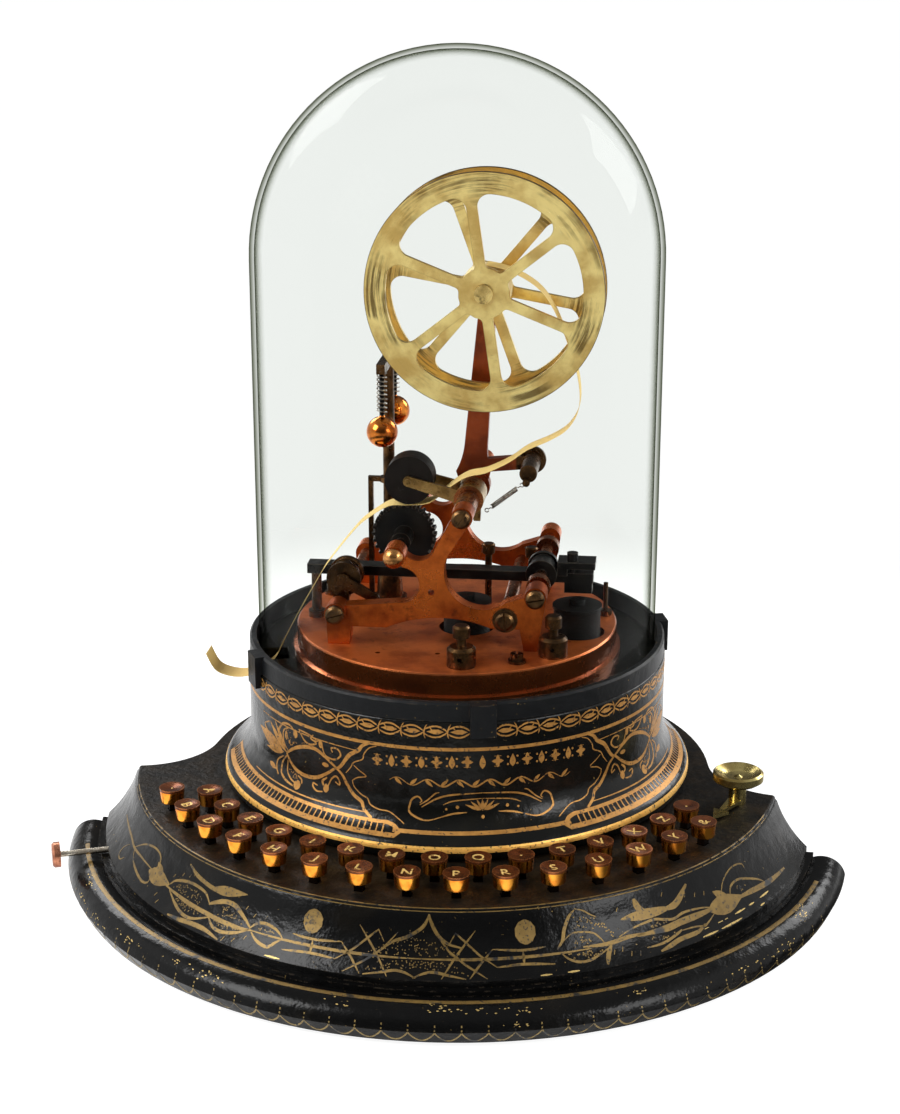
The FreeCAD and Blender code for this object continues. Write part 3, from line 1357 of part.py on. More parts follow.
pad(post, "guide_boss", boss_ring, "post_back - arm_front")
CHEEK_LIFT = "-post_back - cheek_back"
cheek_ring = disc(post, "guide_cheek_ring", "XZ_Plane", "arm_end_x", "arm_end_z", "spool_radius", CHEEK_LIFT)
pad(post, "guide_cheek", cheek_ring, "cheek_thick")
HOOK_X = "(arm_end_x - hook_side)"
HOOK_Z = "(arm_end_z - arm_boss + hook_bite)"
hook_ring = disc(post, "hook_ring", "XZ_Plane", HOOK_X, HOOK_Z, "hook_radius", "-(arm_front + hook_root)")
pad(post, "hook", hook_ring, "hook_long")
rod_ring = disc(post, "rod_ring", "XZ_Plane", "top_rod_x", "top_rod_z", "top_rod_radius")
pocket(post, "rod_hole", rod_ring, "through", middle=True)
REEL_BACK = "(tape_middle + reel_gap / 2 + flange_thick)"
REEL_FRONT = "(tape_middle - reel_gap / 2 - flange_thick)"
AXLE_ROOT = "(post_back - post_thick + root)"
collar_ring = disc(
    post, "axle_collar_ring", "XZ_Plane", "reel_x", "reel_z", "axle_radius + axle_collar", "-" + AXLE_ROOT
)
pad(post, "axle_shoulder", collar_ring, "%s - %s - seat_gap" % (AXLE_ROOT, REEL_BACK))
axle_ring = disc(post, "axle_ring", "XZ_Plane", "reel_x", "reel_z", "axle_radius", "-" + AXLE_ROOT)
pad(post, "axle", axle_ring, "%s - %s + axle_stand" % (AXLE_ROOT, REEL_FRONT))
CAP_LIFT = "-(%s - seat_gap)" % REEL_FRONT
cap_ring = disc(post, "axle_cap_ring", "XZ_Plane", "reel_x", "reel_z", "axle_radius + axle_cap", CAP_LIFT)
pad(post, "axle_end", cap_ring, "axle_cap_thick")
node(post)


# Reel: two spoked brass flanges on a barrel.
def reel_flange(name, back_face, turn):
    made = body(name)
    pad(made, name + "_disc", disc(made, name + "_rim", "XZ_Plane", "0", "0", "reel_radius", "0"), "flange_thick")
    near, far = "(reel_hub + 1.5)", "(reel_radius - reel_rim)"
    lean_near, lean_far = ("(asin(spoke_width / 2 / %s) / 1 deg)" % radius for radius in (near, far))
    window = outline(
        made,
        name + "_window",
        "XZ_Plane",
        [
            on_circle("0", "0", near, lean_near),
            on_circle("0", "0", far, lean_far),
            on_circle("0", "0", far, "(60 - %s)" % lean_far) + (far,),
            on_circle("0", "0", near, "(60 - %s)" % lean_near),
            on_circle("0", "0", near, "30") + ("-%s" % near,),
        ],
        lift="flange_thick + overcut",
    )
    opening = pocket(made, name + "_opening", window, "flange_thick + 2 * overcut")
    ring_of(made, name + "_openings", opening, "6", "360", role="Y_Axis")
    bore = disc(made, name + "_bore_ring", "XZ_Plane", "0", "0", "axle_radius + axle_clear", "flange_thick + overcut")
    bored = pocket(made, name + "_bore", bore, "flange_thick + 2 * overcut")
    doc.recompute()

    def corner(edge, low, high):
        if abs(edge.Length - amount("flange_thick")) > 0.01:
            return False
        middle = edge.CenterOfMass
        return low < math.hypot(middle.x, middle.z) < high

    rim_radius = amount("reel_radius")
    middle_radius = rim_radius / 2
    rounded = made.newObject("PartDesign::Fillet", name + "_outer_rounds")
    rounded.Base = (bored, edges_where(bored, lambda edge: corner(edge, middle_radius, rim_radius)))
    bind(rounded, Radius="window_round")
    doc.recompute()
    roots = made.newObject("PartDesign::Fillet", name + "_inner_rounds")
    inner_low = amount("reel_hub")
    roots.Base = (rounded, edges_where(rounded, lambda edge: corner(edge, inner_low, middle_radius)))
    bind(roots, Radius="window_root")
    return place(made, ("reel_x", back_face, "reel_z"), axis=(0, 1, 0), turn=turn)


barrel = body("reel_barrel")
spin(
    barrel,
    "barrel_turned",
    [
        ("axle_radius + axle_clear", "%s + flange_thick" % REEL_FRONT),
        ("roll_radius", "%s + flange_thick" % REEL_FRONT),
        ("roll_radius", "%s - flange_thick" % REEL_BACK),
        ("axle_radius + axle_clear", "%s - flange_thick" % REEL_BACK),
    ],
    role="XY_Plane",
)
place(barrel, ("reel_x", "0", "reel_z"))
node(
    group(
        "reel",
        reel_flange("front_flange", "%s + flange_thick" % REEL_FRONT, "-spoke_turn"),
        reel_flange("back_flange", REEL_BACK, "-(spoke_turn + spoke_lag)"),
        barrel,
    )
)

# Type wheel on its shaft; the types stand out of the rim like teeth.
wheel = body("type_wheel")
WHEEL_BACK = "(tape_middle + type_width / 2)"
rim_ring = disc(wheel, "type_rim_ring", "XZ_Plane", "0", "0", "type_radius - type_height", "-" + WHEEL_BACK)
pad(wheel, "type_rim", rim_ring, "type_width")
one_type = outline(
    wheel,
    "type_profile",
    "XZ_Plane",
    [
        ("-type_root", "type_radius - type_height - root"),
        ("type_root", "type_radius - type_height - root"),
        ("type_face", "type_radius"),
        ("-type_face", "type_radius"),
    ],
    lift="-" + WHEEL_BACK,
)
ring_of(wheel, "types", pad(wheel, "type", one_type, "type_width"), "type_count", "360", role="Y_Axis")
hub_ring = disc(wheel, "hub_ring", "XZ_Plane", "0", "0", "type_hub", "-%s - type_hub_back" % WHEEL_BACK)
pad(wheel, "hub", hub_ring, "type_hub_back + type_width + type_hub_front")
SHAFT_BACK = "(rear_face + rear_thick + boss_rise + shaft_end)"
shaft_ring = disc(wheel, "shaft_ring", "XZ_Plane", "0", "0", "type_shaft", "-" + SHAFT_BACK)
pad(wheel, "type_spindle", shaft_ring, "%s - (front_face - boss_rise) + seat_gap" % SHAFT_BACK)
spin(
    wheel,
    "ball_head",
    [
        ("0", "front_face - boss_rise - seat_gap"),
        ("ball_head", "front_face - boss_rise - seat_gap"),
        ("ball_head", "front_face - boss_rise - ball_head_foot"),
        ("0", "front_face - boss_rise - ball_head_tall", "-ball_head_round"),
    ],
    role="XY_Plane",
)
place(wheel, ("wheel_x", "0", "wheel_z"))
node(wheel)

# Ink roller on the pin of the ink arm, which swings on the top rod.
ROLLER_FRONT = "(tape_middle - tape_width / 2)"
ROLLER_BACK = "(tape_middle + tape_width / 2)"
inker = body("ink_roller")
spin(
    inker,
    "roller_turned",
    [
        ("roller_bore + axle_clear", ROLLER_FRONT),
        ("roller_radius", ROLLER_FRONT),
        ("roller_radius", ROLLER_BACK),
        ("roller_bore + axle_clear", ROLLER_BACK),
    ],
    role="XY_Plane",
)
place(inker, ("roller_x", "0", "roller_z"))
node(inker)

arm = body("ink_arm")
ARM_BACK = "(%s + arm_side + arm_thick)" % ROLLER_BACK
ARM_FRONT = "(%s - arm_side - arm_thick)" % ROLLER_FRONT
eye_disc = disc(arm, "arm_eye_ring", "XZ_Plane", "0", "0", "arm_eye", "-" + ARM_BACK)
pad(arm, "arm_tube", eye_disc, "%s - %s" % (ARM_BACK, ARM_FRONT))
PIN_X = "(roller_x - top_rod_x)"
PIN_Z = "(roller_z - top_rod_z)"
for side, back in (("back", ARM_BACK), ("front", "(%s + arm_thick)" % ARM_FRONT)):
    bar = outline(
        arm,
        "arm_%s_profile" % side,
        "XZ_Plane",
        [
            ("0", "-arm_root"),
            ("0", "arm_root"),
            (PIN_X, PIN_Z + " + arm_bar"),
            (PIN_X + " - arm_bar", PIN_Z, "arm_bar"),
            (PIN_X, PIN_Z + " - arm_bar", "arm_bar"),
        ],
        lift="-" + back,
    )
    pad(arm, "arm_" + side, bar, "arm_thick")
tail = outline(
    arm,
    "tail_profile",
    "XZ_Plane",
    [
        ("-tail_half", "0"),
        ("tail_side - tail_half", "-tail_reach - tail_end"),
        ("tail_side + tail_half", "-tail_reach - tail_end"),
        ("arm_eye * 0.8", "0"),
    ],
    lift="-(arm_front + tail_sink)",
)
pad(arm, "arm_tail", tail, "tail_thick")
pin_ring = disc(arm, "pin_ring", "XZ_Plane", PIN_X, PIN_Z, "roller_bore", "-" + ARM_BACK)
pad(arm, "roller_pin", pin_ring, "%s - %s + root" % (ARM_BACK, ARM_FRONT))
arm_bore = disc(arm, "arm_bore_ring", "XZ_Plane", "0", "0", "top_rod_radius + axle_clear")
pocket(arm, "arm_bore", arm_bore, "through", middle=True)
place(arm, ("top_rod_x", "0", "top_rod_z"))
node(arm)

# Governor: a spindle with a crossbar, and two copper balls on sprung hangers.
spindle = body("governor_spindle")
spin(
    spindle,
    "spindle_turned",
    [
        ("0", "spindle_foot"),
        ("spindle_radius", "spindle_foot"),
        ("spindle_radius", "spindle_top"),
        ("0", "spindle_top"),
    ],
)
cross_half = "(ball_spread + spring_radius + cross_end)"
cross = outline(
    spindle,
    "crossbar_plan",
    "XY_Plane",
    [
        ("-cross_width / 2", "-" + cross_half),
        ("cross_width / 2", "-" + cross_half),
        ("cross_width / 2", cross_half),
        ("-cross_width / 2", cross_half),
    ],
    lift="cross_height - cross_depth / 2",
)
pad(spindle, "crossbar", cross, "cross_depth")
place(spindle, ("spindle_x", "spindle_y", "0"))
node(spindle)


def governor_ball(name, side):
    made = body(name)
    hanger_top = "cross_height - cross_depth / 2 - ball_height"
    meet = "sqrt(ball_radius^2 - hanger_radius^2)"
    spin(
        made,
        name + "_turned",
        [
            ("0", "-ball_radius"),
            ("ball_radius", "0", "ball_radius"),
            ("hanger_radius", meet, "ball_radius"),
            ("hanger_radius", hanger_top + " - spring_length"),
            ("spring_radius", hanger_top + " - spring_length"),
            ("spring_radius", hanger_top),
            ("0", hanger_top),
        ],
    )
    return place(made, ("spindle_x", "spindle_y %s ball_spread" % side, "ball_height"))


node(group("governor_balls", governor_ball("ball_front", "-"), governor_ball("ball_back", "+")))

# Governor stand: a footstep bearing, and a steady rod with an eye round the spindle.
step = body("footstep")
spin(
    step,
    "footstep_turned",
    [
        ("0", "plate_top"),
        ("step_radius + step_flange", "plate_top"),
        ("step_radius + step_flange", "plate_top + step_flange"),
        ("step_radius", "plate_top + step_flange"),
        ("step_radius - step_taper", "step_top"),
        ("spindle_radius + axle_clear", "step_top"),
        ("spindle_radius + axle_clear", "spindle_foot - seat_gap"),
        ("0", "spindle_foot - seat_gap"),
    ],
)
place(step, ("spindle_x", "spindle_y", "0"))
steady = body("steady_rod")
post_half = "steady_width / 2"
SIDE = "(steady_x - spindle_x)"
upright = outline(
    steady,
    "steady_plan",
    "XY_Plane",
    [
        (SIDE + " - " + post_half, "-" + post_half),
        (SIDE + " + " + post_half, "-" + post_half),
        (SIDE + " + " + post_half, post_half),
        (SIDE + " - " + post_half, post_half),
    ],
    lift="plate_top",
)
pad(steady, "steady_upright", upright, "steady_top - plate_top")
reach = outline(
    steady,
    "steady_arm_plan",
    "XY_Plane",
    [
        (SIDE + " - " + post_half, "-" + post_half),
        ("0", "-" + post_half),
        ("0", post_half),
        (SIDE + " - " + post_half, post_half),
    ],
    lift="steady_top - steady_width",
)
pad(steady, "steady_arm", reach, "steady_width")
pad(
    steady,
    "steady_eye",
    disc(steady, "steady_eye_ring", "XY_Plane", "0", "0", "spindle_radius + steady_wall", "steady_top - steady_width"),
    "steady_width",
)
eye_bore = disc(steady, "steady_bore_ring", "XY_Plane", "0", "0", "spindle_radius + axle_clear", "steady_top + overcut")
pocket(steady, "steady_bore", eye_bore, "steady_width + 2 * overcut")
place(steady, ("spindle_x", "spindle_y", "0"))
node(group("governor_stand", step, steady))

# Armature: a long iron bar on a hub that rocks on the fixed shaft, with a keeper over the right magnet
# and a bridge that carries its adjusting screw.
lever = body("armature")
BAR_TOP = "(-bar_low + bar_depth / 2)"
BAR_LOW = "(-bar_low - bar_depth / 2)"
LEVER_BACK = "-(bar_middle + bar_width / 2)"
bar_profile = [
    ("bar_left - shaft_x", BAR_LOW),
    ("coil_right_x - shaft_x - keeper_half", BAR_LOW),
    ("coil_right_x - shaft_x - keeper_half", BAR_LOW + " - keeper_drop"),
    ("coil_right_x - shaft_x + keeper_half", BAR_LOW + " - keeper_drop"),
    ("coil_right_x - shaft_x + keeper_half", BAR_LOW),
    ("bar_right - shaft_x", BAR_LOW),
    ("bar_right - shaft_x", BAR_TOP),
    ("bar_left - shaft_x", BAR_TOP),
]
pad(lever, "lever_bar", outline(lever, "lever_profile", "XZ_Plane", bar_profile, lift=LEVER_BACK), "bar_width")
HUB_LIFT = "-(bar_middle + hub_long / 2)"
pad(lever, "lever_hub", disc(lever, "lever_hub_ring", "XZ_Plane", "0", "0", "hub_radius", HUB_LIFT), "hub_long")
for end, lift in (("back", HUB_LIFT), ("front", "-(bar_middle - hub_long / 2 + hub_flange_long)")):
    flange = disc(lever, "hub_flange_%s_ring" % end, "XZ_Plane", "0", "0", "hub_flange", lift)
    pad(lever, "hub_flange_" + end, flange, "hub_flange_long")
bridge_profile = [
    ("block_left", BAR_TOP + " - root"),
    ("block_left + block_riser", BAR_TOP + " - root"),
    ("block_left + block_riser", "block_low"),
    ("block_right", "block_low"),
    ("block_right", "block_top"),
    ("block_left", "block_top"),
]
bridge_back = "-(bar_middle + block_width / 2)"
pad(lever, "bridge", outline(lever, "bridge_profile", "XZ_Plane", bridge_profile, lift=bridge_back), "block_width")
thread = disc(lever, "thumb_ring", "XY_Plane", "thumb_x", "thumb_y", "thumb_shank", BAR_TOP + " - root")
pad(lever, "thumb_thread", thread, "block_low - %s + 2 * root" % BAR_TOP)
thumb_head = disc(lever, "thumb_head_ring", "XY_Plane", "thumb_x", "thumb_y", "thumb_radius", "block_top")
pad(lever, "thumb_head", thumb_head, "thumb_tall")
pocket(
    lever,
    "lever_bore",
    disc(lever, "lever_bore_ring", "XZ_Plane", "0", "0", "shaft_radius + axle_clear"),
    "through",
    middle=True,
)
place(lever, ("shaft_x", "0", "shaft_z"))
node(lever)

STOP_TALL = "(shaft_z - bar_low - bar_depth / 2 - stop_gap - plate_top)"
node(
    turned(
        "stop_pillar",
        "stop_x",
        "bar_middle",
        [
            ("0", "0"),
            ("stop_foot", "0"),
            ("stop_foot", "stop_foot_tall"),
            ("stop_radius", "stop_foot_tall"),
            ("stop_radius", STOP_TALL),
            ("0", STOP_TALL),
        ],
    )
)

# Feed roller: it turns on a pin whose arm is clamped on the left rod.
feed = body("feed_roller")
FEED_FRONT = "(feed_middle - feed_width / 2)"
FEED_BACK = "(feed_middle + feed_width / 2)"
spin(
    feed,
    "feed_turned",
    [
        ("feed_pin + axle_clear", FEED_FRONT),
        ("feed_radius", FEED_FRONT),
        ("feed_radius", FEED_FRONT + " + feed_cheek"),
        ("feed_radius - feed_groove", FEED_FRONT + " + feed_cheek + feed_groove"),
        ("feed_radius - feed_groove", FEED_BACK + " - feed_cheek - feed_groove"),
        ("feed_radius", FEED_BACK + " - feed_cheek"),
        ("feed_radius", FEED_BACK),
        ("feed_pin + axle_clear", FEED_BACK),
    ],
    role="XY_Plane",
)
place(feed, ("feed_x", "0", "feed_z"))
node(feed)

feed_arm = body("feed_arm")
FEED_ARM_BACK = "(%s - seat_gap)" % FEED_FRONT
ROD_DX = "(left_rod_x - feed_x)"
ROD_DZ = "(left_rod_z - feed_z)"
arm_sides = [
    (ROD_DX + " - left_rod_radius - feed_arm_wall", ROD_DZ),
    (ROD_DX + " + left_rod_radius + feed_arm_wall", ROD_DZ),
    ("feed_pin + feed_arm_wall", "0"),
    ("0", "feed_pin + feed_arm_wall", "feed_pin + feed_arm_wall"),
    ("-feed_pin - feed_arm_wall", "0", "feed_pin + feed_arm_wall"),
]
pad(
    feed_arm,
    "feed_arm_bar",
    outline(feed_arm, "feed_arm_profile", "XZ_Plane", arm_sides, lift="-" + FEED_ARM_BACK),
    "feed_arm_thick",
)
release = [
    ("0", "-feed_pin - feed_arm_wall"),
    ("feed_lever_x", "feed_lever_z - feed_lever_end"),
    ("feed_lever_x + feed_lever_end", "feed_lever_z", "feed_lever_end"),
    ("feed_lever_x", "feed_lever_z + feed_lever_end", "feed_lever_end"),
    ("0", "feed_pin + feed_arm_wall"),
]
release_sketch = outline(feed_arm, "release_profile", "XZ_Plane", release, lift="-" + FEED_ARM_BACK)
pad(feed_arm, "release_lever", release_sketch, "feed_arm_thick")
release_head = disc(
    feed_arm, "release_ring", "XZ_Plane", "feed_lever_x", "feed_lever_z", "feed_screw", "-%s + feed_arm_thick" % FEED_ARM_BACK
)
pad(feed_arm, "release_screw", release_head, "feed_screw_tall")
clamp = disc(
    feed_arm, "clamp_ring", "XZ_Plane", ROD_DX, ROD_DZ, "left_rod_radius + clamp_wall", "-" + FEED_ARM_BACK
)
pad(feed_arm, "clamp", clamp, "feed_arm_thick")
rod_seat = disc(feed_arm, "rod_seat_ring", "XZ_Plane", ROD_DX, ROD_DZ, "left_rod_radius")
pocket(feed_arm, "rod_seat", rod_seat, "through", middle=True)
pin_disc = disc(feed_arm, "feed_pin_ring", "XZ_Plane", "0", "0", "feed_pin", "-(%s + root)" % FEED_BACK)
pad(feed_arm, "feed_stud", pin_disc, "%s + root - %s + feed_arm_thick" % (FEED_BACK, FEED_ARM_BACK))
place(feed_arm, ("feed_x", "0", "feed_z"))
node(feed_arm)

# Tension spring: a close-wound coil, here as its outer form, between the hook and the ink arm's tail.
SPRING_START = (
    HOOK_X + " + (hook_radius + spring_off) * sin(pull_slope)",
    "arm_front",
    HOOK_Z + " + (hook_radius + spring_off) * cos(pull_slope)",
)
spring = rod("tension_spring", "pull_radius", "pull_length", SPRING_START)
node(place(spring, SPRING_START, axis=(0, 1, 0), turn="pull_slope"))

# Paper tape: a half-inch strip from the reel over the type wheel and out through the chute.
# Its route is x and a height: from the axis of the reel, then from the middle of the bed plate, then from its left edge.
NIP_UP = amount("wheel_up + type_radius + nip_gap / 2")
TAPE_FROM_REEL = [
    (0.5, 13.2),
    (12.1, 10.6),
    (24.8, 3.5),
    (32.6, -6.0),
    (39.0, -20.0),
    (45.5, -39.5),
    (46.7, -55.5),
]
TAPE_OVER_BED = [
    (56.5, 106.0),
    (47.7, 99.7),
    (36.4, 94.3),
    (27.5, 87.8),
    (16.0, 82.0),
    (6.5, 79.6),
    (-2.0, 74.0),
    (-12.0, 65.7),
    (-24.0, NIP_UP),
    (-33.0, 63.4),
    (-43.3, 57.2),
    (-50.0, 51.0),
    (-62.6, 35.0),
    (-68.5, 25.4),
]
TAPE_PAST_EDGE = [
    (4.0, 8.4),
    (-3.0, -5.1),
    (-8.0, -15.6),
    (-16.0, -22.4),
    (-24.0, -24.3),
    (-31.5, -23.2),
    (-37.5, -19.6),
    (-41.5, -11.1),
]
TAPE_ROUTE = [(amount("reel_x") + across, amount("reel_up") + up) for across, up in TAPE_FROM_REEL]
TAPE_ROUTE += TAPE_OVER_BED
TAPE_ROUTE += [(across - amount("plate_radius"), up) for across, up in TAPE_PAST_EDGE]
TAPE_LEAN_FROM = -30.0
TAPE_LEAN = 0.24


def tape_side(offset):
    """The route moved to one side by half the tape's thickness."""
    moved = []
    for index, (across, up) in enumerate(TAPE_ROUTE):
        before = TAPE_ROUTE[max(index - 1, 0)]
        after = TAPE_ROUTE[min(index + 1, len(TAPE_ROUTE) - 1)]
        way = Vector(after[0] - before[0], 0, after[1] - before[1]).normalize()
        moved.append(Vector(across - way.z * offset, 0, up + way.x * offset))
    return moved


def leaning(point):
    """The strip's middle at a point of the route: it runs forwards on its way to the chute."""
    lean = min(point.x - TAPE_LEAN_FROM, 0.0) * TAPE_LEAN
    return Vector(point.x, amount("tape_middle") + lean, amount("plate_top") + point.z)


half_width = Vector(0, amount("tape_width") / 2, 0)
half_thick = amount("tape_thick") / 2
upper, lower = tape_side(half_thick), tape_side(-half_thick)
sections = []
for high, low in zip(upper, lower):
    high, low = leaning(high), leaning(low)
    sections.append([high - half_width, low - half_width, low + half_width, high + half_width])


def panel(*corners):
    return Part.Face(Part.makePolygon(list(corners) + [corners[0]]))


panels = [panel(*sections[0]), panel(*sections[-1])]
for here, there in zip(sections, sections[1:]):
    for corner_number in range(4):
        following = (corner_number + 1) % 4
        panels.append(panel(here[corner_number], here[following], there[following]))
        panels.append(panel(here[corner_number], there[following], there[corner_number]))
strip = Part.Solid(Part.Shell(panels))
if strip.Volume < 0:
    strip.reverse()
tape = doc.addObject("Part::Feature", "paper_tape")
tape.Shape = strip
node(tape)

doc.recompute()
faults = []
for item in doc.Objects:
    if "Invalid" in item.State or "Error" in item.State:
        faults.append("%s: %s" % (item.Label, ", ".join(item.State)))
for piece in NODES:
    if piece.Shape.isNull() or not piece.Shape.isValid():
        faults.append("%s: its shape is not sound" % piece.Label)
if faults:
    raise RuntimeError("; ".join(faults))

os.makedirs("parts", exist_ok=True)
for piece in NODES:
    piece.Shape.exportStep("parts/%s.step" % piece.Label)
print(len(NODES), "nodes written")
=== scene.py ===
"""A domed stock ticker: japanned base with its keyboard, gilt ornament, printing mechanism and tape reel."""
import random
from math import ceil, cos, hypot, pi, radians, sin

import bmesh
import bpy
from mathutils import Matrix, Vector
from mathutils.bvhtree import BVHTree


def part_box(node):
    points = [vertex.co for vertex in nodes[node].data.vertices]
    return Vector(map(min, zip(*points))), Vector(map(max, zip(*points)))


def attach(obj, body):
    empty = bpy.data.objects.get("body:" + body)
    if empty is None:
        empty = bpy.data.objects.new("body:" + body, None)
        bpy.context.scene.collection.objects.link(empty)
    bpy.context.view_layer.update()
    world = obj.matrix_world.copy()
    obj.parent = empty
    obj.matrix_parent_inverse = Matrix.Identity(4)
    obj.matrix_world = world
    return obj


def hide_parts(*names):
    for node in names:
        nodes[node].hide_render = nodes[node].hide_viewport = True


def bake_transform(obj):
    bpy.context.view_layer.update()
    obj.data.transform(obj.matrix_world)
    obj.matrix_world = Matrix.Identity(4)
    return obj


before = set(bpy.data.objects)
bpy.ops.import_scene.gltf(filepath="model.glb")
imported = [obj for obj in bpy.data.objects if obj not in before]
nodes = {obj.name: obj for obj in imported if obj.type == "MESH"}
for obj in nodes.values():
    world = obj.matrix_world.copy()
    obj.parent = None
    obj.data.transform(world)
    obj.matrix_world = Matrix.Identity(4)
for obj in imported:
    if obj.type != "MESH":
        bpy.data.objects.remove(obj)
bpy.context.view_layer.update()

# The table: a pale sweep, one large window of light from the left, a fill and two rim lights.
# None of it belongs to the part; it is staged for the picture.
FLOOR_SIDE = 60.0
FLOOR_WHITE = (0.9, 0.9, 0.9, 1.0)
FLOOR_SHADE = (0.06, 0.06, 0.06, 1.0)
WHITE = (1.0, 1.0, 1.0, 1.0)
GLOW_FAR = (0.745, 0.745, 0.745, 1.0)
CAMERA_PLACE = (0.1178, -1.0415, 0.503)
CAMERA_TURN = (radians(72.14), 0.0, radians(6.65))
CAMERA_LENS = 69.74
LAMPS = (
    ("window_left", (-1.15, -0.75, 1.15), 0.8, 24.0),
    ("fill_right", (1.25, -0.85, 0.75), 0.6, 9.0),
    ("rim_back_left", (-0.85, 0.95, 0.95), 0.6, 9.0),
    ("rim_back_right", (0.95, 0.90, 0.80), 0.6, 8.0),
)


class Wire:
    """One socket of a node tree. Arithmetic on it lays Math nodes, and node() lays any other."""

    def __init__(self, tree, socket=None):
        self.tree = tree
        self.socket = socket

    def node(self, kind, settings=None, inputs=None, output=0):
        made = self.tree.nodes.new(kind)
        for name, value in (settings or {}).items():
            setattr(made, name, value)
        for name, value in (inputs or {}).items():
            if isinstance(value, Wire):
                self.tree.links.new(value.socket, made.inputs[name])
            else:
                made.inputs[name].default_value = value
        return Wire(self.tree, made.outputs[output])

    def maths(self, operation, other=0.0):
        return self.node("ShaderNodeMath", {"operation": operation}, {0: self, 1: other})

    def __add__(self, other):
        return self.maths("ADD", other)

    def __sub__(self, other):
        return self.maths("SUBTRACT", other)

    def __rsub__(self, other):
        return self.node("ShaderNodeMath", {"operation": "SUBTRACT"}, {0: other, 1: self})

    def __mul__(self, other):
        return self.maths("MULTIPLY", other)

    def __truediv__(self, other):
        return self.maths("DIVIDE", other)

    __radd__ = __add__
    __rmul__ = __mul__

    def between(self, low, high):
        """Runs smoothly from 0 at low to 1 at high."""
        span = {"Value": self, "From Min": low, "From Max": high}
        return self.node("ShaderNodeMapRange", {"interpolation_type": "SMOOTHSTEP"}, span)

    def blend(self, first, second):
        """The first colour where this is 0, the second where it is 1."""
        mixed = {0: self, 6: tone(first), 7: tone(second)}
        return self.node("ShaderNodeMix", {"data_type": "RGBA"}, mixed, 2)

    def choose(self, first, second):
        """The first surface where this is 0, the second where it is 1."""
        return self.node("ShaderNodeMixShader", {}, {0: self, 1: first, 2: second})

    def part(self, axis):
        """One coordinate of a place, in metres."""
        return self.node("ShaderNodeSeparateXYZ", {}, {"Vector": self}, axis)

    def squared_from(self, middle, axes):
        """Squared distance from a line that runs along the axis left out, through middle on the other two."""
        first, second = (self.part(axis) - at for axis, at in zip(axes, middle))
        return first * first + second * second

    def cloud(self, size, detail=3.0, stretch=(1.0, 1.0, 1.0), spread=0.5):
        """Noise whose blots are about size millimetres across."""
        place = self
        if stretch != (1.0, 1.0, 1.0):
            place = self.node("ShaderNodeMapping", {}, {"Vector": self, "Scale": stretch})
        grain = {"Vector": place, "Scale": 1000.0 / size, "Detail": detail, "Roughness": spread}
        return place.node("ShaderNodeTexNoise", {}, grain)

    def edges(self, reach):
        """Nearly 0 inside a face, and more towards its edges."""
        rounded = self.node("ShaderNodeBevel", {"samples": 4}, {"Radius": reach})
        flat = self.node("ShaderNodeNewGeometry", output="Normal")
        alike = {"operation": "DOT_PRODUCT"}
        return 1.0 - self.node("ShaderNodeVectorMath", alike, {0: rounded, 1: flat}, "Value")

    def relief(self, depth):
        """A normal from this height, depth metres from black to white."""
        return self.node("ShaderNodeBump", {}, {"Height": self, "Strength": 1.0, "Distance": depth})

    def coat(self, colour, rough, metal=0.0, normal=None, shine=None):
        """A surface of one colour; shine is how strongly it mirrors where it is no metal."""
        settings = {"Base Color": colour, "Metallic": metal, "Roughness": rough}
        if normal is not None:
            settings["Normal"] = normal
        if shine is not None:
            settings["Specular IOR Level"] = shine
        return self.node("ShaderNodeBsdfPrincipled", {}, settings)


def tone(colour):
    """Three parts from 0 to 255, as a colour looks, turned into light; anything else is left alone."""
    if isinstance(colour, Wire) or len(colour) == 4:
        return colour
    lit = [((part / 255 + 0.055) / 1.055) ** 2.4 if part > 10 else part / 3295 for part in colour]
    return (*lit, 1.0)


def finish(name, surface):
    """A material whose shader is surface(place), place being the Object coordinate."""
    made = bpy.data.materials.new(name)
    made.use_nodes = True
    tree = made.node_tree
    tree.nodes.clear()
    place = Wire(tree).node("ShaderNodeTexCoord", output="Object")
    out = tree.nodes.new("ShaderNodeOutputMaterial")
    tree.links.new(surface(place).socket, out.inputs["Surface"])
    return made


def added(name, data):
    made = bpy.data.objects.new(name, data)
    bpy.context.scene.collection.objects.link(made)
    return made


def shape(name, points, faces):
    """A mesh object in the shared frame, not yet riding on anything."""
    mesh = bpy.data.meshes.new(name)
    mesh.from_pydata([tuple(point) for point in points], [], faces)
    mesh.update()
    return added(name, mesh)


def table_white(place):
    """White to the eye; in mirrors, bright close to the base and far off, and dark between."""
    seen = place.node("ShaderNodeLightPath", output="Is Camera Ray")
    mirrored = place.node("ShaderNodeLightPath", output="Is Glossy Ray")
    across, along = place.part(0), place.part(1)
    off = (across * across + along * along).maths("SQRT")
    beside = (1.0 - off.between(0.30, 0.38)) * (1.0 - across.between(0.05, 0.17))
    far = off.between(0.62, 0.85) * 0.7
    back = along.between(-0.05, 0.30)
    flanks = (across * across).between(0.09, 0.30) * (1.0 - across.between(0.0, 0.2) * 0.65)
    bright = beside.maths("MAXIMUM", far).maths("MAXIMUM", back.maths("MAXIMUM", flanks))
    matt = place.node("ShaderNodeBsdfDiffuse", {}, {"Color": mirrored.blend(FLOOR_WHITE, FLOOR_SHADE)})
    clear = off.between(0.35, 0.60) * seen
    glow = place.node("ShaderNodeEmission", {}, {"Color": clear.blend(WHITE, GLOW_FAR), "Strength": 1.35})
    return (seen * 0.67 + clear * 0.33 + mirrored * bright).choose(matt, glow)


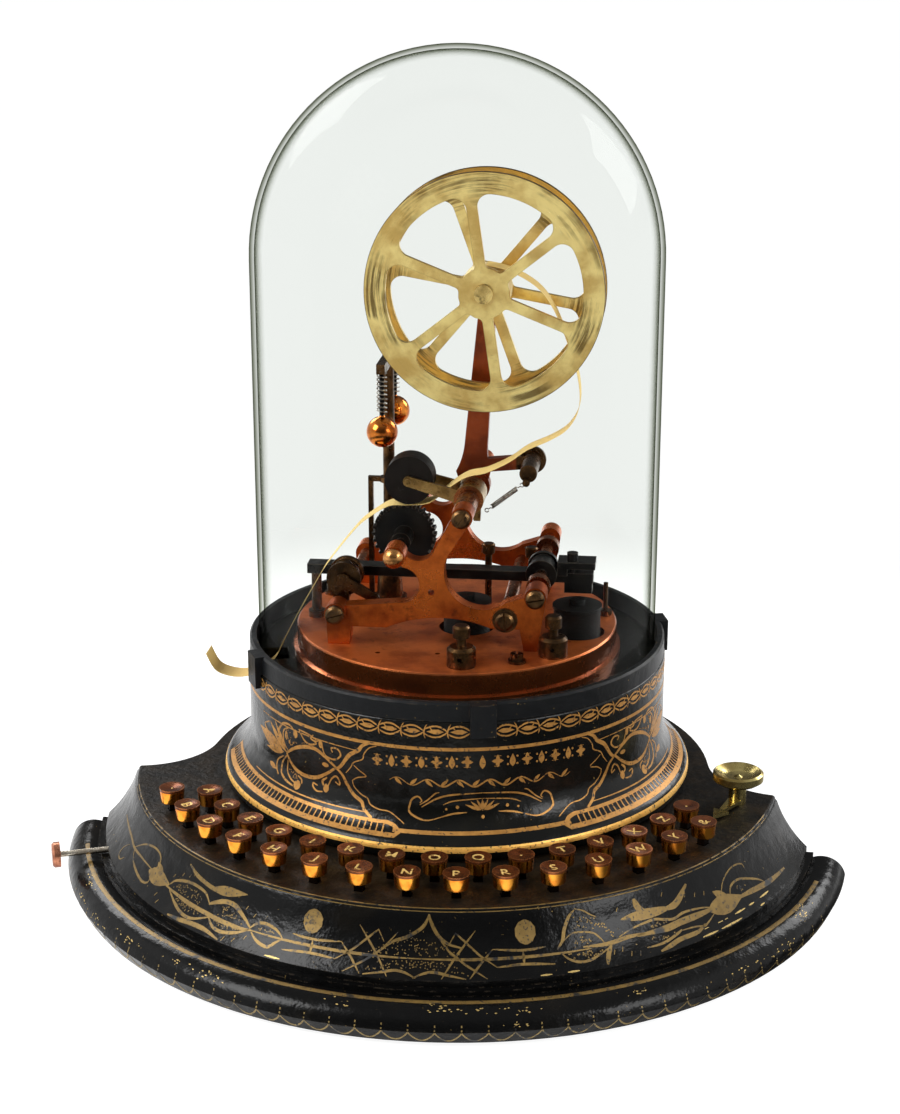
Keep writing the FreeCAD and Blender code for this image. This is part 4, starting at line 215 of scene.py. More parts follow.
floor_corners = [(x * FLOOR_SIDE / 2, y * FLOOR_SIDE / 2, 0) for x, y in ((-1, -1), (1, -1), (1, 1), (-1, 1))]
floor = shape("table_top", floor_corners, [(0, 1, 2, 3)])
floor.data.materials.append(finish("pale_table", table_white))

for lamp_name, lamp_place, lamp_side, lamp_power in LAMPS:
    light = bpy.data.lights.new(lamp_name, "AREA")
    light.shape = "SQUARE"
    light.size = lamp_side
    light.energy = lamp_power
    lamp = added(lamp_name, light)
    aim = Vector((0.0, 0.0, 0.15)) - Vector(lamp_place)
    lamp.matrix_world = Matrix.Translation(lamp_place) @ aim.to_track_quat("-Z", "Y").to_matrix().to_4x4()

world = bpy.data.worlds.new("studio")
world.use_nodes = True
sky_tree = world.node_tree
sky_tree.nodes.clear()
sky = Wire(sky_tree)
way = sky.node("ShaderNodeTexCoord", output="Generated")
flank = (way.part(0) * way.part(0)).between(0.20, 0.62)
above = way.part(2).between(0.30, 0.95)
light_strength = flank * 0.95 + above * 0.35 + 0.10
plain_light = sky.node("ShaderNodeBackground", {}, {"Color": WHITE, "Strength": light_strength})
white_wall = sky.node("ShaderNodeBackground", {}, {"Color": WHITE, "Strength": 1.0})
studio_light = sky.node("ShaderNodeLightPath", output="Is Camera Ray").choose(plain_light, white_wall)
sky_tree.links.new(studio_light.socket, sky_tree.nodes.new("ShaderNodeOutputWorld").inputs["Surface"])
bpy.context.scene.world = world

camera_data = bpy.data.cameras.new("camera")
camera_data.lens = CAMERA_LENS
camera_data.sensor_width = 36.0
camera = added("camera", camera_data)
camera.location = CAMERA_PLACE
camera.rotation_euler = CAMERA_TURN
bpy.context.scene.camera = camera
bpy.context.scene.view_settings.view_transform = "Standard"

# Base casting: iron, rubbed down and stoved in black japan, worn to brown primer at its corners.
# The turned rings of the base keep soft edges, so the facets of the solid are shaded smooth.
JAPAN = (9, 9, 9)
JAPAN_THIN = (26, 22, 16)
JAPAN_WORN = (74, 64, 52)
GILT_SPECK = (150, 124, 70)
SMOOTH_BELOW = radians(32.0)


def grower(name, inputs, build):
    """A node tree with named inputs, some with a value to start from; build turns them into its result."""
    tree = bpy.data.node_groups.new(name, "GeometryNodeTree")
    for label, kind, *start in inputs:
        socket = tree.interface.new_socket(label, in_out="INPUT", socket_type="NodeSocket" + kind)
        if start:
            socket.default_value = start[0]
    tree.interface.new_socket("Geometry", in_out="OUTPUT", socket_type="NodeSocketGeometry")
    entry = tree.nodes.new("NodeGroupInput")
    result = build(*(Wire(tree, entry.outputs[index]) for index in range(len(inputs))))
    tree.links.new(result.socket, tree.nodes.new("NodeGroupOutput").inputs[0])
    return tree


def shaded_smooth(mesh, domain, chosen):
    picked = {"Geometry": mesh, "Shade Smooth": chosen}
    return mesh.node("GeometryNodeSetShadeSmooth", {"domain": domain}, picked)


def polish(solid, sharp_from):
    """Joins the facets of a solid and shades it smooth, apart from its edges."""
    joined = solid.node("GeometryNodeMergeByDistance", {}, {"Geometry": solid, "Distance": 1e-6})
    angle = solid.node("GeometryNodeInputMeshEdgeAngle", output="Unsigned Angle")
    soft = solid.node("FunctionNodeCompare", {"operation": "LESS_THAN"}, {0: angle, 1: sharp_from})
    return shaded_smooth(shaded_smooth(joined, "FACE", True), "EDGE", soft)


SHADING_INPUTS = (("Geometry", "Geometry"), ("Sharp From", "Float", SMOOTH_BELOW))
SOFT_SHADING = grower("soft_shading", SHADING_INPUTS, polish)


def dress(node_name, material):
    """Gives a solid of the frame its finish, and soft shading over its facets."""
    solid = nodes[node_name]
    solid.data.materials.clear()
    solid.data.materials.append(material)
    shading = solid.modifiers.new("soft_shading", "NODES")
    shading.node_group = SOFT_SHADING
    weighted = solid.modifiers.new("even_shading", "WEIGHTED_NORMAL")
    weighted.keep_sharp = True
    return solid


DECK_DARK = (10, 8, 6)
DECK_BROWN = (34, 26, 16)
DECK_LEVEL = 0.0507
DECK_BLUR = 0.0003


def layered(colour, *coats):
    """Colours laid one over another, each as far as its mask says."""
    for mask, over in coats:
        colour = mask.blend(colour, over)
    return colour


def japan(ground, thin, rough, shine, deck_from=None):
    """Stoved black japan; on the deck it is dull, crazed and browned by hands."""

    def surface(place):
        thinned = place.cloud(38.0, 4.0).between(0.50, 0.72)
        corners = place.edges(0.0012).between(0.02, 0.14)
        rubbed = corners * place.cloud(5.0, 7.0, spread=0.72).between(0.50, 0.62)
        speck = place.cloud(1.6, 4.0).between(0.705, 0.73) * place.cloud(22.0, 2.0).between(0.45, 0.6)
        colour = layered(ground, (thinned * 0.5, thin), (rubbed * 0.6, JAPAN_WORN), (speck * 0.8, GILT_SPECK))
        roughness = place.cloud(24.0, 4.0) * 0.24 + rubbed * 0.3 + rough
        peel = place.cloud(1.3, 3.0) + place.cloud(9.0, 3.0) * 5.0
        if deck_from is not None:
            deck = place.part(2).between(deck_from, deck_from + DECK_BLUR)
            grime = place.cloud(9.0, 6.0, spread=0.68).between(0.34, 0.68)
            dull = (speck * 0.5).blend(grime.blend(DECK_DARK, DECK_BROWN), JAPAN_WORN)
            colour = deck.blend(colour, dull)
            roughness = roughness + deck * 0.34
            peel = peel + deck * place.cloud(3.4, 5.0) * 5.0
        return place.coat(colour, roughness, normal=peel.relief(0.00010), shine=shine)

    return surface


dress("keyboard_base", finish("base_japan", japan(JAPAN, JAPAN_THIN, 0.06, 0.14, deck_from=DECK_LEVEL)))


def board_grain(place):
    rings = place.cloud(6.0, 4.0, stretch=(1.0, 0.08, 1.0))
    return place.coat(rings.blend((52, 34, 22), (92, 62, 40)), 0.7, normal=rings.relief(0.0003))


dress("bottom_board", finish("stained_board", board_grain))


def rubber_pad(place):
    dust = place.cloud(2.0, 5.0)
    return place.coat(dust.blend((28, 27, 26), (58, 55, 52)), 0.8, normal=dust.relief(0.0001))


dress("base_feet", finish("rubber_pads", rubber_pad))

# Gilt ornament on the cove of the base: size and gold leaf, painted freehand, now rubbed thin.
# Strokes are given as (degrees round the front, height in mm) and laid on the casting itself.
LEAF_THICK = 0.00007
LEAF_SUNK = 0.00025
COLUMN_WIDE = 1.6
RIB_APART = 1.8
STROKE_STEPS = 5


def surface_of(node_name):
    """What carries an ornament: the solid's own faces, for laying strokes on."""
    mesh = nodes[node_name].data
    return BVHTree.FromPolygons([v.co for v in mesh.vertices], [tuple(p.vertices) for p in mesh.polygons])


def inwards(tree, angle, radius, height, aside, tilt):
    """Where a line falling towards the axis at a tilt, aside of a point beside the wall, meets it."""
    out = Vector((sin(radians(angle)), -cos(radians(angle)), 0.0))
    up = Vector((0.0, 0.0, 1.0))
    rise = out * cos(tilt) + up * sin(tilt)
    across = up * cos(tilt) - out * sin(tilt)
    place, normal, _, _ = tree.ray_cast(out * radius + up * height + across * aside + rise * 0.1, -rise)
    return place, normal


def curved(a, b, c, d, t):
    """A value between b and c on a smooth run through all four."""
    squared, cubed = 2 * a - 5 * b + 4 * c - d, 3 * b - a - 3 * c + d
    return 0.5 * (2 * b + (c - a) * t + squared * t * t + cubed * t ** 3)


def rounded_line(points, step):
    """Points of a smooth line through the given ones, step of them in each span."""
    led = [points[0], *points, points[-1]]
    line = []
    for span in zip(led, led[1:], led[2:], led[3:]):
        for part in range(step):
            line.append(tuple(curved(*values, part / step) for values in zip(*span)))
    return line + [tuple(points[-1])]


class Gilder:
    """Lays thin closed strips and spots of leaf on one turned wall, and joins them as one piece."""

    def __init__(self, node_name, radius, slope=1.0, height=0.0, tilt=0.0):
        self.tree = surface_of(node_name)
        self.degree = radians(1.0) * radius * 1000
        self.radius, self.height = radius, height
        self.slope, self.tilt = slope, radians(tilt)
        self.points, self.faces = [], []
        self.mirror = None

    def flat(self, bearing, level):
        """Millimetres across and up on the unrolled wall, turned over where a mirror's bearing is set."""
        if self.mirror is not None:
            bearing = 2 * self.mirror - bearing
        return bearing * self.degree, level * self.slope

    def lay(self, across, up, lift):
        aside = up / self.slope / 1000
        place, normal = inwards(self.tree, across / self.degree, self.radius, self.height, aside, self.tilt)
        if place is None:
            return None
        return place + normal * lift

    def solid(self, ribs):
        """A plate over ribs of equal length: top and bottom sheets, and the wall round them."""
        start = len(self.points)
        width = len(ribs[0])
        for lift in (LEAF_THICK, -LEAF_SUNK):
            for rib in ribs:
                for across, up in rib:
                    spot = self.lay(across, up, lift)
                    if spot is None:
                        del self.points[start:]
                        return
                    self.points.append(spot)
        below = len(ribs) * width
        for row in range(len(ribs) - 1):
            for column in range(width - 1):
                a = start + row * width + column
                b, c, d = a + 1, a + width + 1, a + width
                self.faces.append((a, b, c, d))
                self.faces.append((d + below, c + below, b + below, a + below))
        rim = list(range(width))
        rim += [row * width + width - 1 for row in range(1, len(ribs))]
        rim += [(len(ribs) - 1) * width + column for column in range(width - 2, -1, -1)]
        rim += [row * width for row in range(len(ribs) - 2, 0, -1)]
        for here, there in zip(rim, rim[1:] + rim[:1]):
            self.faces.append((start + there, start + here, start + here + below, start + there + below))

    def stroke(self, points, width, taper=0.35, smooth=True):
        """A brush stroke through (degrees, millimetres) points, width in mm, thinner at its ends."""
        line = [self.flat(bearing, level) for bearing, level in points]
        if smooth and len(line) > 2:
            line = rounded_line(line, STROKE_STEPS)
        fine = [line[0]]
        for end in line[1:]:
            begin = fine[-1]
            length = hypot(end[0] - begin[0], end[1] - begin[1])
            cuts = max(1, int(length / RIB_APART))
            for cut in range(1, cuts + 1):
                fine.append(tuple(low + (high - low) * cut / cuts for low, high in zip(begin, end)))
        ribs = []
        last = len(fine) - 1
        columns = 1 + ceil(width / COLUMN_WIDE)
        for index, (x, z) in enumerate(fine):
            before, after = fine[max(index - 1, 0)], fine[min(index + 1, last)]
            run = Vector((after[0] - before[0], after[1] - before[1]))
            if run.length < 1e-6:
                continue
            run.normalize()
            press = taper + (1 - taper) * min(1.0, 3.2 * min(index, last - index) / max(last, 1))
            half = width / 2 * press
            spans = [half * (1 - 2 * column / columns) for column in range(columns + 1)]
            ribs.append([(x - run.y * span, z + run.x * span) for span in spans])
        if len(ribs) > 1:
            self.solid(ribs)

    def line(self, level, reach, width):
        """A stroke of even width at one height, as far as reach to either side of the front."""
        self.stroke([(-reach, level), (reach, level)], width, taper=1.0)

    def spot(self, bearing, level, wide, tall, sides=10):
        """A filled oval."""
        x, z = self.flat(bearing, level)
        ribs = []
        for index in range(sides // 2 + 1):
            turn = pi * index / (sides // 2)
            half = max(sin(turn), 0.12) * wide / 2
            up = z + cos(turn) * tall / 2
            ribs.append([(x + half, up), (x, up), (x - half, up)])
        self.solid(ribs)

    def leaf(self, root, tip, width):
        """A pointed leaf from root to tip."""
        start = Vector(self.flat(*root))
        run = Vector(self.flat(*tip)) - start
        side = Vector((-run.y, run.x)).normalized()
        ribs = []
        for index in range(7):
            t = index / 6
            middle = start + run * t
            half = width / 2 * max(sin(pi * t ** 0.8), 0.08)
            ribs.append([tuple(middle + side * half), tuple(middle - side * half)])
        self.solid(ribs)

    def close(self, name, material):
        made = shape(name, self.points, self.faces)
        made.data.materials.append(material)
        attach(made, "machine")


def gold_leaf(bright, dark, wear):
    """Leaf over size: bright where it is whole, down to the black where hands have rubbed it."""

    def surface(place):
        rubbed = place.cloud(9.0, 6.0, spread=0.62).between(wear - 0.05, wear + 0.05)
        broken = place.cloud(1.3, 3.0).between(0.60, 0.66)
        gone = rubbed.maths("MAXIMUM", broken)
        shade = place.cloud(4.0, 3.0)
        leaf = shade.blend(dark, bright)
        return place.coat(
            gone.blend(leaf, JAPAN),
            shade * 0.25 + 0.32,
            metal=0.55 - gone * 0.55,
            normal=place.cloud(0.6, 2.0).relief(0.00003),
        )

    return surface


base_gilt = finish("base_gilt", gold_leaf((146, 118, 62), (82, 64, 32), 0.60))
COVE_RADIUS, COVE_SLOPE = 0.177, 1.25
cove = Gilder("keyboard_base", COVE_RADIUS, COVE_SLOPE)
COVE_STROKES = (
    ([(-71.5, 38), (-68, 37.5), (-63.5, 36.5), (-60.5, 35), (-56.5, 35), (-51.5, 34.5)], 1.4),
    ([(-60.5, 35), (-57.5, 40), (-54, 42.5), (-51.5, 42), (-50.5, 39), (-51, 34.5)], 1.2),
    ([(-60, 34.5), (-58.5, 31.5), (-55.5, 29.5), (-52.5, 28.5), (-51, 29.5), (-51, 31.5)], 1.2),
    ([(-62.5, 34), (-64, 31), (-64, 28), (-62.5, 27), (-61.5, 29)], 0.8),
    ([(-46.5, 33.2), (-40, 32), (-35.5, 31.5), (-31.5, 31), (-28, 31), (-26, 31.5)], 2.1),
    ([(-45.5, 34.5), (-44.5, 37), (-42, 39), (-39.5, 39.5), (-37, 38.5), (-35.5, 35.5)], 1.6),
    ([(-45, 32.5), (-42.5, 29.5), (-40, 27.5), (-37.5, 27.5), (-34.5, 30.5)], 1.5),
    ([(-35.5, 35), (-34.5, 36.5), (-32.5, 38.5), (-30.5, 38.5), (-28.5, 36), (-26.5, 32.5)], 2.4),
    ([(-34.5, 30.5), (-33, 28), (-31, 27.5), (-28.5, 29), (-26.5, 31.5)], 1.6),
    ([(-42.5, 46.5), (-40, 43.5), (-35.5, 41.5), (-32.5, 42)], 2.3),
    ([(-42.5, 24.8), (-40, 25.2), (-37, 26), (-34, 26), (-31, 24.6)], 2),
    ([(-26.5, 32), (-25.5, 34.5), (-24, 35.5), (-22, 34.5), (-20.5, 32)], 1.5),
    ([(-26, 31), (-24.5, 28.5), (-22.5, 27.5), (-21.5, 29.5), (-20.5, 31.5)], 1.5),
    ([(21.5, 33), (22.5, 36), (23, 40), (24, 45), (25, 47.5)], 1.7),
    ([(25, 48), (26.5, 46.5), (27.5, 44.5), (28.5, 43)], 0.8),
    ([(22.5, 35.5), (24, 38), (25.5, 38.2), (27.5, 37), (28.5, 34.5), (29, 32.5)], 0.9),
    ([(25.5, 32.5), (29.5, 32), (33, 32.8), (36, 32.5)], 1.9),
    ([(22, 31.5), (23, 29), (24.5, 27.5), (26, 27.5), (27.5, 28.5), (29.5, 30.5)], 1.2),
    ([(30, 31.5), (29.2, 28.5), (28.6, 25)], 2.2),
    ([(34.5, 32.4), (40, 32), (42.5, 32.5), (47, 32.5), (50, 32.5)], 3.2),
    ([(31.5, 33.5), (34, 35.5), (37, 36.5), (38.5, 36.5), (41.5, 34.5), (44, 35.5), (47.5, 34.5),
     (49.5, 33)], 1.3),
    ([(35.4, 47), (36, 42.5), (37.5, 39)], 3.4),
    ([(40.5, 39.2), (42.5, 39.5), (44, 41.5), (46, 46)], 3.6),
    ([(55, 31.5), (58.5, 31), (62.5, 30), (66, 29.2), (71, 28.6)], 2.6),
    ([(54.5, 34), (55.5, 37), (58, 37.5), (62, 33.5), (63.5, 31)], 1.2),
    ([(42, 29.5), (45, 29), (46.5, 28), (47.5, 28.5), (49.5, 30.5)], 0.9),
    ([(35.5, 27.4), (38.5, 27.4), (41.5, 29), (42.4, 29.8)], 1.2),
    ([(37.5, 25), (39, 25.6), (41.5, 26.8), (45, 27), (47, 28.5)], 2),
    ([(52, 33.5), (54, 40), (57, 43.5), (60, 42.5), (60.5, 39)], 0.9),
)
COVE_LINES = (
    ([(-26, 31.5), (-20, 31.5), (-11, 31.5), (0.4, 31.5)], 1.4),
    ([(-19, 34.5), (-15.5, 34), (-11, 35)], 1.2),
    ([(-20, 28), (-15.5, 29), (-11.5, 28.5)], 1.2),
    ([(-15.5, 33.5), (-15.5, 29)], 1.2),
    ([(-7, 24.8), (-4.5, 26), (-2.5, 27), (-1, 26.5), (0.6, 24.8)], 1.2),
)
COVE_LATTICE = (
    [(-11, 35), (-9, 29.5), (-7.5, 24.8)],
    [(-11.5, 28.5), (-9, 33), (-5.5, 41.5), (-4.5, 37)],
    [(-8.5, 42.5), (-5.5, 32.5), (-3.5, 24.8)],
    [(-10, 24.8), (-7, 29.5), (-4.5, 34.5), (-2.5, 41)],
)
COVE_TICKS = (
    (-45.5, 37.6), (-43.5, 40), (-41.8, 41), (-28.2, 38.4), (-26.4, 36.4), (-24.3, 37), (-30.4, 24.8),
    (-28.6, 25.6), (-26.8, 27.6), (-47.6, 27.4), (-46.4, 25.6),
    (30, 27.8), (31.4, 28.2), (32.6, 26), (34, 25.4), (45, 41), (47, 39.5), (49, 38.6), (40.6, 44.6),
    (32, 43.4),
)
COVE_DISC = (-16.1, 41.0, 10.2, 12.4)
COVE_CENTRE = 0.4
for stroke, width in COVE_STROKES:
    cove.stroke(stroke, width)
for bearing, level in COVE_TICKS:
    cove.stroke([(bearing, level), (bearing + 0.3, level + 1.6)], 1.1)
cove.leaf((-52.4, 33.6), (-45.6, 34.0), 8.6)
cove.leaf((-51.0, 38.8), (-47.0, 32.8), 4.4)
cove.leaf((-36.0, 41.4), (-28.6, 44.4), 5.4)
cove.leaf((32.5, 40.0), (42.8, 39.0), 5.4)
cove.leaf((48.6, 32.4), (57.0, 31.4), 9.4)
cove.leaf((51.0, 38.4), (54.6, 31.6), 4.4)
for side in (None, COVE_CENTRE):
    cove.mirror = side
    for stroke, width in COVE_LINES:
        cove.stroke(stroke, width)
    for stroke in COVE_LATTICE:
        cove.stroke(stroke, 1.0, smooth=False)
    cove.spot(*COVE_DISC)
cove.mirror = None
cove.stroke([(2.2, 49), (1.8, 46), (1, 43), (-1, 39.5), (-3, 37.5), (-4.5, 34.5)], 1.7)
cove.stroke([(2.2, 49), (2.5, 46), (3.5, 41), (5, 37.5), (7.4, 35.6)], 1.7)
dots = random.Random(7)


def strew(gilder, outline_points, count, size):
    """Stipples the inside of an outline with small dots of leaf."""
    across = [p[0] for p in outline_points]
    heights = [p[1] for p in outline_points]
    placed = 0
    while placed < count:
        x, z = dots.uniform(min(across), max(across)), dots.uniform(min(heights), max(heights))
        inside = False
        for (x1, z1), (x2, z2) in zip(outline_points, outline_points[1:] + outline_points[:1]):
            if (z1 > z) != (z2 > z) and x < (x2 - x1) * (z - z1) / (z2 - z1) + x1:
                inside = not inside
        if inside:
            gilder.spot(x, z, size, size, sides=4)
            placed += 1


FINE_DOT, COARSE_DOT = 0.62, 0.86
COVE_STIPPLE = (
    ([(-4, 36.5), (0.8, 40.5), (1.8, 46), (0.8, 32.4), (-7, 32.4)], 60),
    ([(-7.5, 25.8), (-4.5, 30.6), (0.6, 30.6), (0.6, 27.6), (-3, 27.8)], 46),
)
COVE_STIPPLE_LEFT = (
    ([(-44.5, 34.2), (-43, 37.4), (-39.5, 38.4), (-36.6, 35), (-38, 32.8)], 60),
    ([(-43.5, 31.6), (-39.5, 28.4), (-36.6, 29.6), (-36.4, 31)], 46),
    ([(-34, 35), (-31.5, 37.4), (-28.4, 33.6), (-33, 32.6)], 40),
    ([(-33.4, 30.2), (-31.6, 28.6), (-28.2, 30.2)], 24),
    ([(-25.4, 32.4), (-23.8, 34.6), (-21.8, 32.6)], 14),
)
COVE_STIPPLE_RIGHT = (
    ([(24.4, 46), (28.5, 42.5), (30.5, 38), (33, 35.4), (30.5, 33.6), (27.5, 38.6), (24.2, 39.4)], 46),
    ([(24, 33.4), (24.4, 36.4), (26.8, 36.2), (28, 33.2)], 16),
    ([(22.8, 31), (29, 30.8), (27.5, 29), (26, 28.2), (23.6, 29)], 26),
    ([(36.5, 34.4), (38.5, 35.5), (41, 34), (36.5, 33.8)], 14),
    ([(36, 30.4), (40, 30.2), (41.5, 29.6), (38.5, 28.4)], 14),
    ([(56.2, 35.6), (58, 36), (60, 33.8), (57, 33)], 10),
)
for side in (None, COVE_CENTRE):
    cove.mirror = side
    for ground, count in COVE_STIPPLE:
        strew(cove, ground, count, FINE_DOT)
cove.mirror = None
for grounds, dot_size in ((COVE_STIPPLE_LEFT, FINE_DOT), (COVE_STIPPLE_RIGHT, COARSE_DOT)):
    for ground, count in grounds:
        strew(cove, ground, count, dot_size)
cove.close("cove_gilding", base_gilt)

# Gilt lines: a broad one along the crown of the foot moulding and two fine ones along the deck's rim,
# drawn with a lining brush in gold size and leafed with the rest.
CROWN_RADIUS, CROWN_HEIGHT, CROWN_TILT = 0.1942, 0.0217, 77.0
RIM_RADIUS, RIM_HEIGHT, RIM_TILT = 0.1665, 0.0508, 45.0
crown = Gilder("keyboard_base", CROWN_RADIUS, height=CROWN_HEIGHT, tilt=CROWN_TILT)
crown.line(0.0, 74.5, 2.2)
crown.close("crown_line", base_gilt)
rim = Gilder("keyboard_base", RIM_RADIUS, height=RIM_HEIGHT, tilt=RIM_TILT)
for level, width in ((0.7, 0.5), (-0.8, 0.4)):
    rim.line(level, 74.0, width)
rim.close("rim_lines", base_gilt)

# Foot edging: scallops painted round the foot moulding, with short ticks where they meet,
# in a paler leaf than the cove's.
EDGING_RADIUS, EDGING_HALF = 0.2035, 74
SCALLOP = 12.0
SCALLOP_BOW = ((0.0, 9.4), (0.12, 7.2), (0.32, 5.0), (0.5, 4.4), (0.68, 5.0), (0.88, 7.2), (1.0, 9.4))
edging = Gilder("keyboard_base", EDGING_RADIUS)
scallop_turn = SCALLOP / edging.degree
for index in range(int(2 * EDGING_HALF / scallop_turn)):
    left = -EDGING_HALF + index * scallop_turn
    edging.stroke([(left + part * scallop_turn, level) for part, level in SCALLOP_BOW], 0.8, taper=0.8)
    edging.stroke([(left, 10.0), (left, 12.6)], 0.7, taper=0.9)
edging.close("foot_edging", finish("foot_gilt", gold_leaf((160, 136, 80), (98, 80, 44), 0.56)))

# Flecks and chips: an older layer of leaf shows through the black in clusters on the moulding,
# and short dashes are left of two worn lines along the cove.
FLECK_RADIUS, FLECK_HEIGHT, FLECK_TILT = 0.2003, 0.0184, 45.0
FLECK_CLUSTERS, CLUSTER_SIZE = 22, 9
flecks = Gilder("keyboard_base", FLECK_RADIUS, height=FLECK_HEIGHT, tilt=FLECK_TILT)
for cluster in range(FLECK_CLUSTERS):
    bearing, level = dots.choice((-1, 1)) * dots.uniform(4.0, 73.0), dots.uniform(-6.0, 4.0)
    for fleck in range(CLUSTER_SIZE):
        size = dots.uniform(0.25, 0.9)
        flecks.spot(dots.gauss(bearing, 1.3), dots.gauss(level, 1.0), size * 1.8, size * 0.8, sides=4)
fleck_gilt = finish("fleck_gilt", gold_leaf((214, 186, 116), (150, 122, 66), 0.7))
flecks.close("gilt_flecks", fleck_gilt)
chips = Gilder("keyboard_base", COVE_RADIUS, COVE_SLOPE)
for level, spans in (
    (27.0, ((46.4, 47.2), (49.4, 50.4), (50.9, 51.6), (53.4, 56.0), (57.0, 58.6), (60.4, 63.2))),
    (24.7, ((-22.4, -19.8), (18.4, 20.1), (22.4, 24.2), (45.4, 48.6), (49.4, 54.2), (59.4, 60.6))),
):
    for begin, end in spans:
        chips.stroke([(begin, level), (end, level)], 0.8)
chips.close("gilt_chips", fleck_gilt)

# Keys: turned copper caps on square stems, dished on top, each with its letter laid in gold size.
# Thirty stand on the deck in two curved rows, and a letter is a thin plate that follows its dish.
KEY_COUNT = 30
KEY_FIRST_ANGLE = -61.3
KEY_PITCH = 4.23
OUTER_LEGENDS = ".BDFHJLNPRSUWY&"
INNER_LEGENDS = "ACEGIKMOQ.TVXZ."
LEGEND_TALL = 0.0076
LEGEND_LIFT = 0.00006
LEGEND_SWELL = 0.00006
CAP_TOP_FROM = 0.0618
CAP_FOOT = 0.0561


def copper_cap(place):
    """Lacquered copper, bright down the sides and duller on top; the top's darker colour is painted shade,
    its rim a painted highlight, and the stem below the cap is painted dark as painted shadow.
    """
    tarnish = place.cloud(5.0, 5.0).between(0.42, 0.72)
    # Painted highlight: a lighter ring along the edges of the cap's top.
    rim_highlight = place.edges(0.0008).between(0.02, 0.2)
    top = place.part(2).between(CAP_TOP_FROM, CAP_TOP_FROM + 0.0003)
    side_tone = tarnish.blend((255, 172, 64), (250, 140, 44))
    # Painted shade: the top is given a darker copper than the sides.
    painted_dark_top = tarnish.blend((136, 76, 42), (74, 40, 25))
    # Painted shadow: the stem below the cap is coloured dark.
    stem_shadow = 1.0 - place.part(2).between(CAP_FOOT - 0.0002, CAP_FOOT)
    colour = stem_shadow.blend(top.blend(side_tone, painted_dark_top), (44, 32, 24))
    return place.coat(
        (rim_highlight * top).blend(colour, (214, 136, 80)),
        tarnish * 0.12 + top * 0.06 + 0.14,
        metal=1.0 - top * 0.2,
        normal=place.cloud(0.5, 2.0).relief(0.00001),
    )


def legend_gold(place):
    worn = place.cloud(1.8, 4.0).between(0.56, 0.62)
    return place.coat(worn.blend((226, 190, 112), (120, 78, 46)), 0.45, metal=0.3)


key_copper = finish("key_copper", copper_cap)
key_gold = finish("key_letters", legend_gold)


def letter_mesh(letter):
    """A letter as a thin closed plate, lying flat about the origin."""
    text = bpy.data.curves.new("letter", "FONT")
    text.body = letter
    text.size = LEGEND_TALL
    text.align_x, text.align_y = "CENTER", "CENTER"
    text.extrude = LEAF_SUNK / 2
    text.offset = LEGEND_SWELL
    text.resolution_u = 3
    holder = added("letter", text)
    flat = bpy.data.meshes.new_from_object(holder.evaluated_get(bpy.context.evaluated_depsgraph_get()))
    bpy.data.objects.remove(holder)
    return flat


for number in range(1, KEY_COUNT + 1):
    key_name = "key_%02d" % number
    dress(key_name, key_copper)
    low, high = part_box(key_name)
    centre = Vector(((low[0] + high[0]) / 2, (low[1] + high[1]) / 2, 0.0))
    turn = radians(KEY_FIRST_ANGLE + KEY_PITCH * (number - 1))
    legend = (OUTER_LEGENDS if number % 2 else INNER_LEGENDS)[(number - 1) // 2]
    flat = letter_mesh(legend)
    cap = surface_of(key_name)
    points = [v.co.copy() for v in flat.vertices]
    spans = [[point[axis] for point in points] for axis in (0, 1)]
    middle = Vector([(min(span) + max(span)) / 2 for span in spans] + [0])
    settled = []
    for point in points:
        spot = Matrix.Rotation(turn, 3, "Z") @ (point - middle) + centre
        hit, _, _, _ = cap.ray_cast(Vector((spot.x, spot.y, high[2] + 0.01)), Vector((0, 0, -1)))
        level = hit.z if hit else high[2]
        settled.append((spot.x, spot.y, level + (LEGEND_LIFT if point.z > 0 else -LEAF_SUNK)))
    letter = shape("letter_%02d" % number, settled, [tuple(p.vertices) for p in flat.polygons])
    letter.data.materials.append(key_gold)
    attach(letter, key_name)

# Selector knob, pull rod and key guide: a turned brass knob, a steel rod with a copper head that
# slides in the casting, and the hidden blackened guide that keeps the key stems upright.
DARK_STAIN = (70, 52, 26)
TURNED_DRAG = 0.012
TURNED_STREAKS = 6.0


def turned_metal(
    bright, dull, stain, rough=0.26, stain_from=0.52, turned_about=None, blot=16.0, painted_edge_shade=None
):
    """Aged metal: lighter where it is handled, stained in blots, with fine turning marks; given a painted
    edge shade, its edges are painted darker instead, as painted shade.
    """

    def surface(place):
        grain, fine, patch = place, 0.8, 1.0
        if turned_about is not None:
            out_x, out_z = place.part(0) - turned_about[0], place.part(2) - turned_about[1]
            ring = (out_x * out_x + out_z * out_z).maths("POWER", 0.5)
            fine, patch = 5.0, place.cloud(26.0, 3.0).between(0.42, 0.58) * ring.between(0.036, 0.043)
            round_x, round_y = out_x / ring * TURNED_DRAG, out_z / ring * TURNED_DRAG
            streaks = {"X": round_x, "Y": round_y, "Z": ring * TURNED_STREAKS + place.part(1)}
            grain = place.node("ShaderNodeCombineXYZ", {}, streaks)
        dulled = place.cloud(blot, 5.0, spread=0.6).between(0.38, 0.66)
        stained = grain.cloud(blot * 0.6, 7.0, spread=0.68).between(stain_from, stain_from + 0.14) * patch
        pitted = grain.cloud(1.1, 3.0).between(0.64, 0.72)
        edge = place.edges(0.0007).between(0.015, 0.16)
        stains = (stained * 0.8, stain), (pitted * 0.5, stain)
        # Edges lighter where worn, or painted darker as painted shade where a painted edge shade is given.
        colour = layered(bright, (dulled, dull), *stains, (edge * 0.6, painted_edge_shade or bright))
        height = grain.cloud(fine, 3.0) + pitted * -1.0
        return place.coat(
            colour, dulled * 0.14 + stained * 0.2 + rough, metal=1.0, normal=height.relief(0.00002)
        )

    return surface


